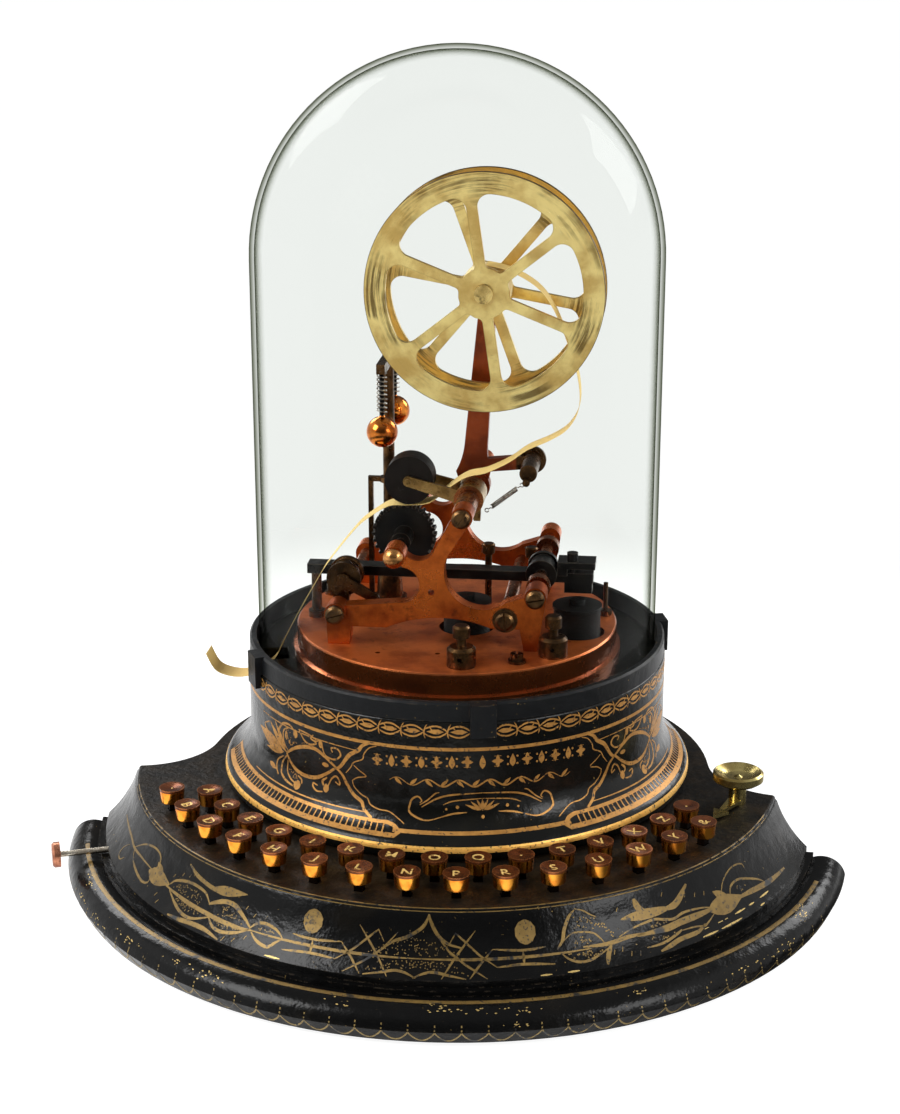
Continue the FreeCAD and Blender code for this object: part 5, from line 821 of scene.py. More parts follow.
bronze_skin = turned_metal((98, 69, 42), (55, 39, 25), (21, 16, 12), blot=9.0)
dark_bronze = finish("dark_bronze", bronze_skin)
knob_brass = turned_metal((206, 188, 122), (146, 126, 74), (66, 56, 32), rough=0.2)
dress("selector_knob", finish("knob_brass", knob_brass))
ROD_HEAD_FROM = 0.2074
rod_head = turned_metal((206, 140, 110), (140, 84, 62), (60, 38, 30), blot=8.0)
rod_steel = turned_metal((226, 216, 198), (168, 156, 138), (92, 78, 62), rough=0.2, blot=6.0)


def rod_finish(place):
    """Steel shaft, pale where the casting has rubbed it, under a copper head."""
    out = place.squared_from((0.0, 0.0), (0, 1))
    head = out.between(ROD_HEAD_FROM ** 2, (ROD_HEAD_FROM + 0.0004) ** 2)
    return head.choose(rod_steel(place), rod_head(place))


dress("pull_rod", finish("rod_finish", rod_finish))


def blackened(place):
    """Iron blacked in oil, grey where it rubs."""
    rub = place.edges(0.0006).between(0.02, 0.2)
    oil = place.cloud(11.0, 4.0).between(0.4, 0.65)
    base = oil.blend((15, 14, 14), (28, 25, 22))
    return place.coat(
        (rub * 0.7).blend(base, (122, 112, 100)),
        oil * 0.2 + 0.3,
        metal=0.5,
        normal=place.cloud(1.0, 3.0).relief(0.00003),
        shine=0.3,
    )


black_iron = finish("blackened_iron", blackened)
dress("key_guide", black_iron)

# Tower: a flared iron drum in the same japan, standing on the deck. On it, in gold leaf on size, are
# an eye with scrolls and leaves at each side of the front panel, a ladder line and the lines round it.
dress("tower_drum", finish("drum_japan", japan((10, 10, 8), (30, 27, 18), 0.09, 0.2)))
DRUM_RADIUS = 0.107
DRUM_TOP_LINE = 104.2
ALL_ROUND = 179.9
PANEL_MIDDLE = 13.0
drum_gilt = finish("drum_gilt", gold_leaf((206, 152, 76), (138, 92, 40), 0.67))
drum = Gilder("tower_drum", DRUM_RADIUS)
DRUM_LINES = (
    ([(-45, 85.5), (-41.5, 90), (-37.5, 93), (-33.5, 94), (-30, 91.5), (-26.5, 87.5)], 1.9),
    ([(-45, 85.5), (-43.5, 82), (-41, 79), (-37.5, 78), (-33.5, 79), (-30, 82.5), (-26.5, 87.5)], 1.9),
    ([(-16.5, 104), (-18.5, 102), (-19.5, 99.5), (-21, 97.5), (-22.5, 95.5), (-25, 89), (-26.5, 87)], 2),
    ([(-26.5, 87.5), (-24.5, 84.5), (-23, 80), (-21, 76), (-18.5, 73.5), (-17.5, 70.5), (-15, 67.5)], 1.7),
    ([(-14.5, 103), (-16.5, 101.5), (-18, 98), (-18.5, 95), (-21, 92.5), (-22, 89.5), (-23.5, 86)], 0.6),
    ([(-21, 91), (-19.5, 89), (-17.5, 86.5), (-20, 85), (-21.5, 83)], 0.6),
    ([(-21.5, 83), (-21, 80), (-19, 77), (-17, 75.5), (-16, 73), (-13.5, 71.5), (-10.5, 71),
     (-6.5, 67)], 0.6),
    ([(-58, 99.5), (-30.5, 99.5), (-20.5, 99)], 0.6),
    ([(-45, 85.5), (-47.5, 89.5), (-48.5, 95), (-47, 99.5), (-45, 101), (-43, 101), (-41.5, 99)], 1.2),
    ([(-44, 86.5), (-46, 90), (-46.5, 95), (-45.5, 98), (-44, 99)], 0.8),
    ([(-39.5, 101), (-38.5, 98.5), (-37, 96), (-35, 95.5), (-33, 97), (-34, 98)], 0.9),
    ([(-39.5, 101), (-36, 100.5), (-33, 99)], 0.8),
    ([(-31, 97), (-30, 92.5), (-27, 91.5), (-25, 94.5), (-26, 97.5), (-28, 97), (-27.5, 95)], 0.9),
    ([(-31.5, 99.5), (-33.5, 98), (-35, 99), (-34, 101)], 0.8),
    ([(-45, 84), (-47, 79.5), (-47, 74.5), (-44.5, 72), (-41, 71)], 1.2),
    ([(-44.5, 82), (-44.5, 76.5), (-42.5, 73.5), (-40, 72.5)], 0.9),
    ([(-46.5, 83), (-49.5, 79), (-49.5, 75), (-48, 72.5)], 1),
    ([(-38, 73.5), (-38.5, 75.5), (-40, 76.5)], 0.9),
    ([(-29.5, 81), (-31, 78.5), (-30.5, 76.5)], 1.2),
    ([(-30.5, 73.5), (-32.5, 73), (-34, 74.5), (-34, 76), (-32.5, 75.5)], 0.9),
    ([(-29, 77), (-28, 81), (-26.5, 83), (-25.5, 81), (-25.5, 79), (-26.8, 80)], 0.9),
    ([(-46.5, 85), (-50.5, 87), (-55, 90.5), (-57, 93.5), (-54, 96.5)], 0.9),
    ([(-59.5, 69), (-46.5, 69), (-34.5, 69), (-17, 69.5)], 0.6),
    ([(-13, 66.8), (-11, 66.9), (-9, 66), (-7.5, 64.4)], 1.5),
)
DRUM_BUDS = (
    (-45, 94.8, 2.3, 4.6), (-41, 97.8, 3.4, 4.4), (-31.5, 97.4, 2.6, 4), (-30, 87.4, 4.2, 2.2),
    (-39.6, 72.2, 4.8, 4.4), (-29.6, 75.6, 3.4, 4.2), (-43.6, 92, 1.4, 2),
)
DRUM_LEAVES = (
    ((-53.5, 75.5), (-49.4, 74.2), 2.6),
    ((-46, 86), (-53.4, 97), 3.4),
    ((-45.6, 87.4), (-50.6, 99), 2.8),
    ((-47, 85), (-60.5, 90), 7.5),
    ((-47, 84.2), (-56, 82.4), 3),
)
DRUM_STIPPLE = (
    ([(-44.5, 88.5), (-42, 93), (-36.5, 95.5), (-41.5, 92.5)], 16),
    ([(-45.5, 98.8), (-43, 99.5), (-43, 94), (-43.6, 91)], 12),
    ([(-44, 78), (-41.5, 78), (-39.5, 75), (-42.5, 74)], 18),
)
LADDER_LOW, LADDER_HIGH = 62.6, 66.8
LADDER_PITCH = 2.95
for side in (None, PANEL_MIDDLE):
    drum.mirror = side
    for stroke, width in DRUM_LINES:
        drum.stroke(stroke, width, taper=0.6)
    for bearing, level, wide, tall in DRUM_BUDS:
        drum.spot(bearing, level, wide, tall)
    for root, tip, width in DRUM_LEAVES:
        drum.leaf(root, tip, width)
    for ground, count in DRUM_STIPPLE:
        strew(drum, ground, count, 0.6)
    drum.stroke([(-80.0, LADDER_HIGH), (-12.5, LADDER_HIGH)], 1.3, taper=1.0)
    drum.stroke([(-80.0, LADDER_LOW), (-8.4, LADDER_LOW), (-7.2, 64.2)], 1.5, taper=1.0, smooth=False)
    for rung in range(int(70.0 * drum.degree / LADDER_PITCH)):
        at = -11.5 - rung * LADDER_PITCH / drum.degree
        drum.stroke([(at, LADDER_LOW), (at, LADDER_HIGH)], 0.65, taper=1.0)
drum.mirror = None
drum.stroke([(-9.0, 64.4), (35.0, 64.4)], 1.4, taper=1.0)
drum.line(DRUM_TOP_LINE, ALL_ROUND, 1.7)

# Front panel of the tower: rows of plain ornament in the same leaf. Lozenges and leaves stand above,
# a vine runs across the middle, and scrolls curl round a small palmette below.
PANEL_SCROLLS = (
    ([(-3, 76.5), (-2.5, 77.5), (-3.5, 79.5), (-5, 78), (-5.5, 75.5), (-5.5, 72), (-3, 69.5), (-0.5, 69),
     (2.5, 70.5)], 0.9),
    ([(-3, 75.5), (-1, 78), (1, 81.5), (2, 82)], 0.7),
    ([(-2.5, 74.5), (1.5, 79), (5.5, 81), (13, 81.8)], 0.9),
    ([(2.5, 70.5), (5.5, 72), (9, 72.6)], 0.8),
    ([(3, 76), (6, 78), (13, 79)], 0.6),
)
ROW_PITCH = 3.9
for side in (None, PANEL_MIDDLE):
    drum.mirror = side
    for stroke, width in PANEL_SCROLLS:
        drum.stroke(stroke, width)
    for place_in_row in range(1, 8):
        bearing = PANEL_MIDDLE - place_in_row * ROW_PITCH
        level = 97.8 - 0.03 * place_in_row ** 2
        if place_in_row % 2:
            for lean, rise in ((-1.5, 0), (1.5, 0), (0, -3.2), (0, 3.2)):
                drum.leaf((bearing, level), (bearing + lean, level + rise), 1.9)
            for rise in (-2.6, 2.6):
                drum.stroke([(bearing - 0.9, level + rise), (bearing + 0.9, level + rise)], 0.6)
        else:
            drum.leaf((bearing, level - 3.2), (bearing, level + 3.2), 3.0)
            for lean, rise in ((-1.25, -1.9), (1.25, -1.9), (-1.25, 1.9), (1.25, 1.9)):
                drum.spot(bearing + lean, level + rise, 1.1, 1.1)
    for petal, (lean, tall) in enumerate(((1.5, 5.2), (3.0, 4.2), (4.4, 2.8))):
        drum.leaf((PANEL_MIDDLE - 0.4 * petal, 73.4), (PANEL_MIDDLE - lean, 73.4 + tall), 1.3)
    drum.spot(6.6, 75.0, 1.6, 1.6)
    drum.spot(3.8, 74.0, 1.1, 1.1)
drum.mirror = None
drum.leaf((PANEL_MIDDLE, 73.0), (PANEL_MIDDLE, 78.6), 1.6)
drum.leaf((PANEL_MIDDLE, 94.2), (PANEL_MIDDLE, 101.0), 3.0)
drum.spot(PANEL_MIDDLE, 70.6, 1.6, 1.6)
VINE_WAVES = 6
VINE_REACH = 24.0
VINE_LEVEL = 86.8
vine_turn = 2 * VINE_REACH / VINE_WAVES
vine = [
    (PANEL_MIDDLE - VINE_REACH + vine_turn * step / 8, VINE_LEVEL + 1.7 * sin(pi * step / 4))
    for step in range(8 * VINE_WAVES + 1)
]
drum.stroke(vine, 0.8)
for wave in range(2 * VINE_WAVES):
    bearing = PANEL_MIDDLE - VINE_REACH + vine_turn * (wave + 0.5) / 2
    upward = 1.0 if wave % 2 == 0 else -1.0
    drum.leaf((bearing - 0.6, VINE_LEVEL + 1.5 * upward), (bearing + 1.3, VINE_LEVEL - 1.9 * upward), 1.7)
drum.close("drum_gilding", drum_gilt)

# Foot line and leaf borders: a bright line round the foot of the tower, and round its top two rows of
# linked leaves, one motif repeated and wrapped round the drum to right and left of the panel's middle.
FOOT_RADIUS, FOOT_LINE = 0.1171, 58.4
foot_line = Gilder("tower_drum", FOOT_RADIUS)
foot_line.line(FOOT_LINE, ALL_ROUND, 2.8)
foot_line.close("drum_foot_line", finish("foot_gold", gold_leaf((255, 206, 108), (226, 168, 78), 0.80)))


def wrapped_row(motif, repeats, pitch, start, radius, height, coat):
    """Repeats a flat motif and wraps the row round a turned wall, millimetre for millimetre."""
    step = pitch.node("ShaderNodeCombineXYZ", {}, {"X": pitch})
    row = pitch.node("GeometryNodeMeshLine", {}, {"Count": repeats, "Offset": step})
    shown = motif.node("GeometryNodeObjectInfo", {}, {"Object": motif}, "Geometry")
    laid = row.node("GeometryNodeInstanceOnPoints", {}, {"Points": row, "Instance": shown})
    real = laid.node("GeometryNodeRealizeInstances", {}, {"Geometry": laid})
    place = real.node("GeometryNodeInputPosition")
    turn = (place.part(0) + start) / radius
    depth = radius + place.part(2)
    across, along = depth * turn.maths("SINE"), depth * turn.maths("COSINE") * -1.0
    wrapped = place.node("ShaderNodeCombineXYZ", {}, {"X": across, "Y": along, "Z": height + place.part(1)})
    bent = real.node("GeometryNodeSetPosition", {}, {"Geometry": real, "Position": wrapped})
    return bent.node("GeometryNodeSetMaterial", {}, {"Geometry": bent, "Material": coat})


def grown(name, tree, values, body):
    """The plain mesh that a node tree makes from its named inputs, riding on a body."""
    made = added(name, bpy.data.meshes.new(name))
    growth = made.modifiers.new("growth", "NODES")
    growth.node_group = tree
    for item in tree.interface.items_tree:
        if item.item_type == "SOCKET" and item.in_out == "INPUT" and item.name in values:
            growth[item.identifier] = values[item.name]
    mesh = bpy.data.meshes.new_from_object(made.evaluated_get(bpy.context.evaluated_depsgraph_get()))
    made.modifiers.clear()
    made.data = mesh
    if body is not None:
        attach(made, body)
    return made


def plate_motif(name, outlines):
    """Flat closed plates of leaf, from outlines in millimetres."""
    points, faces = [], []
    for outline_points in outlines:
        start, count = len(points), len(outline_points)
        points += [(x / 1000, z / 1000, LEAF_THICK) for x, z in outline_points]
        points += [(x / 1000, z / 1000, -LEAF_SUNK) for x, z in outline_points]
        faces.append(tuple(range(start, start + count)))
        faces.append(tuple(range(start + 2 * count - 1, start + count - 1, -1)))
        for index in range(count):
            after = (index + 1) % count
            faces.append((start + after, start + index, start + count + index, start + count + after))
    return shape(name, points, faces)


def lens(root, length, width):
    """A level leaf's outline, its root at (root, 0)."""
    bow = ((0, 0), (0.3, -0.9), (0.6, -0.85), (1, 0), (0.6, 0.85), (0.3, 0.9))
    return [(root + part * length, side * width / 2) for part, side in bow]


def crescent(start, end, swell, thick):
    """A curved stroke's outline from start to end, swelling to its left."""
    begin, run = Vector(start), Vector(end) - Vector(start)
    side = Vector((-run.y, run.x)).normalized()
    spans = (0.15, 0.35, 0.5, 0.65, 0.85)
    bow = [(begin + run * t + side * (swell * 4 * t * (1 - t)), side * (thick / 2)) for t in spans]
    there = [tuple(at - half) for at, half in bow]
    back = [tuple(at + half) for at, half in reversed(bow)]
    return [start, *there, end, *back]


LEAF_PITCH = 11.2
LEAF_START = 5.6
LEAF_COUNT = 29
BORDER_HEIGHT = 0.1131
leaf_link = [
    crescent((-0.8, -0.6), (11.6, 0.5), 2.9, 0.85),
    crescent((-0.8, 0.6), (11.6, -0.5), -2.9, 0.85),
    lens(1.6, 8.2, 2.6),
    crescent((9.4, 3.9), (10.4, -3.6), 1.1, 0.6),
    crescent((5.2, 0.3), (8.4, 3.0), -0.9, 0.5),
]
BORDER_INPUTS = (
    ("Motif", "Object"), ("Repeats", "Int"), ("Pitch", "Float"), ("Start", "Float"),
    ("Wall Radius", "Float"), ("Height", "Float"), ("Finish", "Material"),
)
BORDER = grower("wrapped_border", BORDER_INPUTS, wrapped_row)
for border_name, way_round in (("leaf_border_right", 1), ("leaf_border_left", -1)):
    outlines = [[(x * way_round, z) for x, z in outline][::way_round] for outline in leaf_link]
    link = plate_motif("leaf_link", outlines)
    sizes = {
        "Motif": link,
        "Repeats": LEAF_COUNT,
        "Pitch": LEAF_PITCH * way_round / 1000,
        "Start": radians(PANEL_MIDDLE) * DRUM_RADIUS + LEAF_START * way_round / 1000,
        "Wall Radius": DRUM_RADIUS,
        "Height": BORDER_HEIGHT,
        "Finish": drum_gilt,
    }
    grown(border_name, BORDER, sizes, "machine")
    bpy.data.objects.remove(link)

# Dome ring, bed plate and frames: the ring is japanned iron, the plate a lacquered copper casting
# faced off on top, and the front and rear frames stand on it, tied by rods and held by bronze screws.
dress("dome_ring", finish("ring_japan", japan((11, 13, 15), (20, 19, 18), 0.30, 0.2)))


def cast_copper(bright, dull, dark, rough=0.36, metallic=0.75, painted_edge_shade=None):
    """Lacquered copper-red casting, browned where the lacquer has gone, and lighter at worn edges; given a
    painted edge shade, its edges are painted darker instead, as painted shade.
    """

    def surface(place):
        browned = place.cloud(20.0, 5.0, spread=0.6).between(0.40, 0.66)
        stained = place.cloud(8.0, 6.0, spread=0.66).between(0.58, 0.70)
        edge = place.edges(0.0008).between(0.02, 0.2)
        # Edges lighter where worn, or painted darker as painted shade where a painted edge shade is given.
        colour = layered(bright, (browned, dull), (stained * 0.6, dark), (edge * 0.55, painted_edge_shade or bright))
        return place.coat(
            colour,
            browned * 0.1 + stained * 0.12 + rough,
            metal=metallic,
            normal=(place.cloud(0.9, 3.0) + place.cloud(6.0, 3.0)).relief(0.00003),
        )

    return surface


# The frames' edges are painted darker as painted shade, which outlines them.
frame_red = cast_copper(
    (222, 112, 44), (150, 64, 21), (62, 27, 10), rough=0.27, metallic=0.9, painted_edge_shade=(96, 44, 18)
)
frame_copper = finish("frame_copper", frame_red)
plate_top = cast_copper((200, 104, 48), (148, 71, 31), (80, 37, 17), rough=0.32, metallic=0.6)
# Painted shade: the plate's turned side is given darker tones than its top.
plate_side_shaded = cast_copper((166, 88, 44), (118, 60, 30), (60, 31, 16), rough=0.22, metallic=0.9)


PLATE_TOP_FROM, PLATE_TOP_TO = 0.1322, 0.1325


def plate_finish(place):
    """Lighter on top, darker and glossier down its turned side; the side's darker colour is painted shade."""
    top = place.part(2).between(PLATE_TOP_FROM, PLATE_TOP_TO)
    return top.choose(plate_side_shaded(place), plate_top(place))


dress("bed_plate", finish("plate_copper", plate_finish))
dress("front_frame", frame_copper)
dress("rear_frame", frame_copper)
rod_bronze = turned_metal((176, 110, 68), (116, 66, 40), (44, 28, 20), rough=0.2, blot=9.0)
dress("cross_rods", finish("rod_bronze", rod_bronze))
screw_bronze = turned_metal((112, 82, 52), (62, 45, 31), (28, 22, 18), rough=0.32, blot=7.0)
dress("frame_screws", finish("screw_bronze", screw_bronze))
dress("binding_posts", dark_bronze)

# Printing works: wound magnets and their blackened armature, the type wheel on its shaft,
# the feed arm and roller in dark bronze, and the ink arm with its felt roller.
TURNS_PER_METRE = 9000.0


def wound_coil(place):
    """Varnished cotton-covered wire, each turn a fine ridge."""
    height = place.part(2)
    turns = (height * TURNS_PER_METRE).maths("SINE")
    dust = place.cloud(6.0, 4.0)
    return place.coat(
        dust.blend((6, 6, 6), (16, 15, 14)), dust * 0.2 + 0.4, normal=turns.relief(0.00012), shine=0.22
    )


dress("magnets", finish("coil_varnish", wound_coil))
dress("armature", black_iron)


SCREW_TO, SHAFT_FROM = -0.0505, -0.0495
screw_copper = turned_metal((214, 150, 90), (156, 100, 58), DARK_STAIN, rough=0.2, blot=9.0)


def wheel_finish(place):
    """Blackened wheel, its shaft ending before the frame in a round copper screw."""
    screw = 1.0 - place.part(1).between(SCREW_TO, SHAFT_FROM)
    return screw.choose(blackened(place), screw_copper(place))


dress("type_wheel", finish("wheel_black", wheel_finish))
for bronze_name in ("stop_pillar", "feed_arm", "feed_roller"):
    dress(bronze_name, dark_bronze)
ARM_PIVOT = (0.0077, 0.201)
ARM_HUB = 0.0072
arm_strap = turned_metal((178, 142, 86), (120, 92, 52), (52, 38, 24), blot=9.0)
arm_hub = turned_metal((170, 104, 62), (110, 64, 38), (44, 29, 20), blot=9.0)


def arm_finish(place):
    """Brass strap on a copper hub."""
    strap = place.squared_from(ARM_PIVOT, (0, 2)).between(ARM_HUB ** 2, (ARM_HUB + 0.0003) ** 2)
    return strap.choose(arm_hub(place), arm_strap(place))


dress("ink_arm", finish("arm_brass", arm_finish))


def inked_felt(place):
    ink = place.cloud(3.0, 5.0)
    return place.coat(
        ink.blend((8, 6, 5), (24, 17, 13)),
        ink * 0.3 + 0.34,
        normal=place.cloud(0.5, 3.0).relief(0.0001),
        shine=0.15,
    )


dress("ink_roller", finish("inked_felt", inked_felt))

# Governor: a dark bronze spindle on its stand, with two polished copper balls. Each hangs on a
# browned iron wire with a coil of steel wire round it.
dress("governor_spindle", dark_bronze)
dress("governor_stand", dark_bronze)
HANGER_FROM = 0.2375
ball_bright = turned_metal((222, 132, 56), (158, 82, 32), (54, 26, 13), rough=0.08, stain_from=0.58)


def ball_finish(place):
    """Polished copper ball on a browned iron hanger."""
    hanger = place.part(2).between(HANGER_FROM, HANGER_FROM + 0.0004)
    return hanger.choose(ball_bright(place), blackened(place))


ball_copper = finish("ball_copper", ball_finish)
BALL_X, GOVERNOR_Y, BALL_SPREAD = -0.0385, 0.026, 0.0225
SPRING_TOP = 0.2595
SPRING_LONG = 0.020
SPRING_RADIUS = 0.0024
SPRING_WIRE = 0.00042
BALL_CENTRE_Z = 0.2292
BALL_RADIUS = 0.008
BALL_STEPS = 16
HANGER_RADIUS = 0.0013


def smoothed(made):
    for face in made.data.polygons:
        face.use_smooth = True
    return made


def sleeve(rows, sides):
    """The faces between rows of points, each row a closed loop."""
    faces = []
    for start in range(0, (rows - 1) * sides, sides):
        for side in range(sides):
            after = (side + 1) % sides
            faces.append((start + side, start + after, start + sides + after, start + sides + side))
    return faces


def turned_profile(name, outline_points, axis, sides=48):
    """A closed turned shape about a vertical axis, from (radius, height) points that start and end on it."""
    points = []
    inner = outline_points[1:-1]
    for radius, height in inner:
        for side in range(sides):
            turn = 2 * pi * side / sides
            points.append((axis[0] + radius * cos(turn), axis[1] + radius * sin(turn), height))
    low, high = len(points), len(points) + 1
    points += [(axis[0], axis[1], outline_points[0][1]), (axis[0], axis[1], outline_points[-1][1])]
    faces = sleeve(len(inner), sides)
    top = (len(inner) - 1) * sides
    for side in range(sides):
        after = (side + 1) % sides
        faces += [(low, after, side), (top + side, top + after, high)]
    return smoothed(shape(name, points, faces))


def wound_wire(turns, radius, length, wire, coat):
    """A round-wire coil standing on the origin."""
    winding = {"Resolution": 14, "Rotations": turns, "Height": length}
    winding["Start Radius"] = winding["End Radius"] = radius
    spiral = turns.node("GeometryNodeCurveSpiral", {}, winding)
    round_wire = wire.node("GeometryNodeCurvePrimitiveCircle", {}, {"Resolution": 6, "Radius": wire})
    sweep = {"Curve": spiral, "Profile Curve": round_wire, "Fill Caps": True}
    swept = spiral.node("GeometryNodeCurveToMesh", {}, sweep)
    smooth = shaded_smooth(swept, "FACE", True)
    return smooth.node("GeometryNodeSetMaterial", {}, {"Geometry": smooth, "Material": coat})


def spring_wire(place):
    rust = place.cloud(2.0, 4.0).between(0.45, 0.7)
    return place.coat(rust.blend((158, 154, 148), (96, 80, 66)), rust * 0.2 + 0.3, metal=1.0)


COIL_SIZES = tuple((label, "Float") for label in ("Turns", "Radius", "Length", "Wire"))
COIL = grower("coil_spring", COIL_SIZES + (("Finish", "Material"),), wound_wire)
steel_wire = finish("spring_wire", spring_wire)


def steel_coil(name, turns, radius, length, wire, body):
    sizes = {"Turns": turns, "Radius": radius, "Length": length, "Wire": wire, "Finish": steel_wire}
    return grown(name, COIL, sizes, body)


for ball_side, ball_name in ((-1, "front"), (1, "back")):
    coil_name = "governor_coil_%s" % ball_name
    coil = steel_coil(coil_name, 9.0, SPRING_RADIUS, SPRING_LONG, SPRING_WIRE, "governor")
    ball_axis = (BALL_X, GOVERNOR_Y + ball_side * BALL_SPREAD)
    coil.data.transform(Matrix.Translation((*ball_axis, SPRING_TOP - SPRING_LONG)))
    ball = [(0.0, BALL_CENTRE_Z - BALL_RADIUS)]
    for step in range(1, BALL_STEPS):
        lean = pi * step / (BALL_STEPS + 0.5)
        ball.append((BALL_RADIUS * sin(lean), BALL_CENTRE_Z - BALL_RADIUS * cos(lean)))
    ball += [(HANGER_RADIUS, BALL_CENTRE_Z + BALL_RADIUS), (HANGER_RADIUS, SPRING_TOP), (0.0, SPRING_TOP)]
    hung = turned_profile("governor_ball_%s" % ball_name, ball, ball_axis)
    hung.data.materials.append(ball_copper)
    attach(hung, "governor")
    if ball_side > 0:
        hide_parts("governor_balls")

# Tension spring: close-wound steel wire between the guide arm's hook and the tail of the ink arm.
# Its coil is attached to no body, and an open hook rides with each of them.
PULL_TOP = Vector((0.0347, -0.014, 0.2091))
PULL_SLOPE = radians(232.0)
PULL_LONG = 0.024
PULL_RADIUS = 0.00105
PULL_WIRE = 0.00028
PULL_LOOP = 0.0042
PULL_EYE = 0.00095
EYE_STEPS, EYE_STEP = 15, 22
pull_way = Vector((sin(PULL_SLOPE), 0.0, cos(PULL_SLOPE)))
pull_turn = Vector((0, 0, 1)).rotation_difference(pull_way).to_matrix().to_4x4()
pull_end = PULL_TOP + pull_way * PULL_LONG
coil_top, coil_low = PULL_TOP + pull_way * PULL_LOOP, pull_end - pull_way * PULL_LOOP
pull_coil = steel_coil("pull_coil", 26.0, PULL_RADIUS, PULL_LONG - 2 * PULL_LOOP, PULL_WIRE, None)
pull_coil.data.transform(Matrix.Translation(coil_top) @ pull_turn)
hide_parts("tension_spring")
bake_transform(pull_coil)


def bent_wire(name, path, radius, sides=6):
    """Round wire along a path that lies in one upright plane."""
    points = []
    flat_side = Vector((0.0, 1.0, 0.0))
    for index, at in enumerate(path):
        run = (path[min(index + 1, len(path) - 1)] - path[max(index - 1, 0)]).normalized()
        across = run.cross(flat_side).normalized()
        for side in range(sides):
            turn = 2 * pi * side / sides
            points.append(at + across * (radius * cos(turn)) + flat_side * (radius * sin(turn)))
    faces = [(a, d, c, b) for a, b, c, d in sleeve(len(path), sides)]
    faces.append(tuple(range(sides)))
    faces.append(tuple((len(path) - 1) * sides + side for side in range(sides - 1, -1, -1)))
    return smoothed(shape(name, points, faces))


for hook_name, hook_body, root, outward in (
    ("top", "machine", coil_top, -pull_way),
    ("low", "ink_arm", coil_low, pull_way),
):
    beside = outward.cross(Vector((0.0, 1.0, 0.0)))
    eye = root + outward * (PULL_LOOP - PULL_EYE)
    path = [root + beside * PULL_RADIUS, root + outward * (PULL_EYE * 1.2)]
    for step in range(EYE_STEPS):
        turn = radians(180 + EYE_STEP * step)
        path.append(eye + outward * (PULL_EYE * cos(turn)) + beside * (PULL_EYE * sin(turn)))
    hook = bent_wire("pull_hook_%s" % hook_name, path, PULL_WIRE)
    hook.data.materials.append(steel_wire)
    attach(hook, hook_body)

# Reel post and reel: a brown copper post carries the turned and pierced brass reel on its axle,
# with the rolled paper between the reel's cheeks.
post_copper = cast_copper((142, 62, 26), (100, 40, 15), (50, 22, 11), rough=0.3)


pale_brass = turned_metal((226, 196, 126), (178, 148, 88), DARK_STAIN, rough=0.2, blot=9.0)
AXLE_HEAD_TO, AXLE_FROM = -0.0180, -0.0170
GUIDE_FROM_X, GUIDE_BELOW_Z, GUIDE_BLUR = 0.0285, 0.2495, 0.001


def post_finish(place):
    """Brown copper, with the axle's head before the reel in brass and the guide arm's end in dark bronze."""
    head = 1.0 - place.part(1).between(AXLE_HEAD_TO, AXLE_FROM)
    below = 1.0 - place.part(2).between(GUIDE_BELOW_Z, GUIDE_BELOW_Z + GUIDE_BLUR)
    guide = place.part(0).between(GUIDE_FROM_X, GUIDE_FROM_X + GUIDE_BLUR) * below
    casting = guide.choose(post_copper(place), bronze_skin(place))
    return head.choose(casting, pale_brass(place))


dress("reel_post", finish("post_copper", post_finish))
REEL_AXIS = (0.015, 0.305)
# The reel's edges are painted darker as painted shade.
reel_brass = turned_metal(
    (255, 228, 150), (218, 180, 106), (84, 62, 33),
    rough=0.3, stain_from=0.43, turned_about=REEL_AXIS, blot=20.0, painted_edge_shade=(126, 96, 52),
)
RIM_EDGE = 0.0583
PAPER_EDGE = 0.0126
CHEEKS_FROM, CHEEKS_TO, CHEEK_BLUR = -0.0170, -0.00205, 0.00005
rim_brown = turned_metal((120, 96, 62), (70, 52, 34), (34, 25, 18), rough=0.3, blot=14.0)


def reel_surface(place):
    """Brass cheeks, and between them near the axis the rolled paper."""
    off_axis = place.squared_from(REEL_AXIS, (0, 2))
    across = place.part(1)
    near = 1.0 - off_axis.between(PAPER_EDGE ** 2, (PAPER_EDGE + 0.0002) ** 2)
    rim = off_axis.between((RIM_EDGE - 0.0001) ** 2, RIM_EDGE ** 2)
    behind = across.between(CHEEKS_TO, CHEEKS_TO + CHEEK_BLUR)
    inside = across.between(CHEEKS_FROM, CHEEKS_FROM + CHEEK_BLUR) * (1.0 - behind)
    paper = place.coat(place.cloud(3.0, 3.0).blend((214, 196, 146), (238, 222, 176)), 0.8)
    cheeks = rim.choose(reel_brass(place), rim_brown(place))
    return (near * inside).choose(cheeks, paper)


dress("reel", finish("reel_brass", reel_surface))

# Paper tape: half-inch strip from the reel, under the ink roller, down and out through the chute.
# It is one thin closed strip along a smooth line, and past the type wheel it leans to the front.
TAPE_WIDE = 0.0127
TAPE_THICK = 0.00016
TAPE_MIDDLE_Y = -0.0095
BED_TOP = 0.1326
NIP_UP = 0.0641
TAPE_ROUTE = (
    (15.5, 185.6), (27.1, 183), (39.8, 175.9), (47.6, 166.4), (54, 152.4), (60.5, 132.9), (61.7, 116.9),
    (56.5, 106), (47.7, 99.7), (36.4, 94.3), (27.5, 87.8), (16, 82), (6.5, 79.6), (-2, 74), (-12, 65.7),
    (-24, NIP_UP * 1000), (-33, 63.4), (-43.3, 57.2), (-50, 51), (-62.6, 35), (-68.5, 25.4), (-78, 8.4),
    (-85, -5.1), (-90, -15.6), (-98, -22.4), (-106, -24.3), (-113.5, -23.2), (-119.5, -19.6),
    (-123.5, -11.1),
)
TAPE_LEAN_FROM = -30.0
TAPE_LEAN = 0.24
TAPE_ROWS = 5


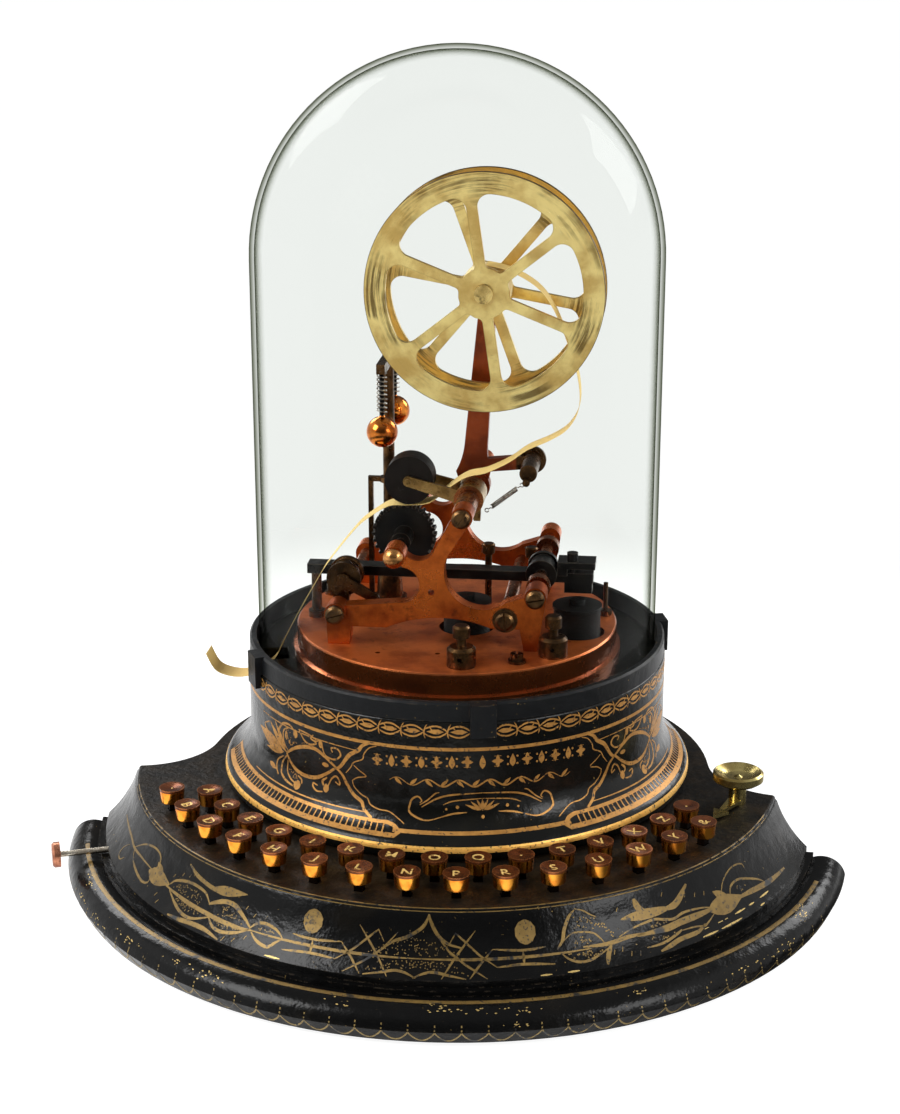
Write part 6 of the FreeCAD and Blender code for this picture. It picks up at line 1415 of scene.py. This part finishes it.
def tape_paper(place):
    fibre = place.cloud(0.7, 3.0, stretch=(1.0, 1.0, 0.4))
    aged = place.cloud(18.0, 3.0)
    return place.coat(aged.blend((236, 206, 130), (206, 172, 100)), 0.72, normal=fibre.relief(0.00003))


tape_line = rounded_line(TAPE_ROUTE, 4)
tape_points = []
for index, (across, up) in enumerate(tape_line):
    before, after = tape_line[max(index - 1, 0)], tape_line[min(index + 1, len(tape_line) - 1)]
    run = Vector((after[0] - before[0], 0, after[1] - before[1])).normalized()
    normal = Vector((-run.z, 0, run.x))
    lean = min(across - TAPE_LEAN_FROM, 0.0) * TAPE_LEAN / 1000
    middle = Vector((across / 1000, TAPE_MIDDLE_Y + lean, BED_TOP + up / 1000))
    for face_side in (1, -1):
        for column in range(TAPE_ROWS):
            aside = (column / (TAPE_ROWS - 1) - 0.5) * TAPE_WIDE
            beside = Vector((0, aside * -face_side, 0))
            tape_points.append(middle + beside + normal * (face_side * TAPE_THICK / 2))
loop = 2 * TAPE_ROWS
tape_faces = sleeve(len(tape_line), loop)
tape_faces.append(tuple(range(loop - 1, -1, -1)))
tape_faces.append(tuple((len(tape_line) - 1) * loop + corner for corner in range(loop)))
tape = shape("tape_strip", tape_points, tape_faces)
joined = bmesh.new()
joined.from_mesh(tape.data)
bmesh.ops.recalc_face_normals(joined, faces=joined.faces)
joined.to_mesh(tape.data)
joined.free()
tape.data.materials.append(finish("tape_paper", tape_paper))
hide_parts("paper_tape")
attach(tape, "machine")

# Glass dome: blown in one piece with a round crown, faintly green, and darker where it is seen edge on.
# It stands loose in the dome ring.
GLASS_FACE = (250, 251, 250)
GLASS_EDGE = (110, 118, 92)


def blown_glass(place):
    edge_on = place.node("ShaderNodeLayerWeight", {}, {"Blend": 0.5}, "Facing").between(0.70, 1.0)
    clear = place.node("ShaderNodeBsdfTransparent", {}, {"Color": tone(GLASS_FACE)})
    thick = place.node("ShaderNodeBsdfTransparent", {}, {"Color": tone(GLASS_EDGE)})
    shine = place.node("ShaderNodeBsdfAnisotropic", {}, {"Color": WHITE, "Roughness": 0.03})
    body_glass = edge_on.choose(clear, thick)
    sheen = place.node("ShaderNodeFresnel", {}, {"IOR": 1.35})
    return (sheen * 0.012).choose(body_glass, shine)


dress("glass_dome", finish("blown_glass", blown_glass))
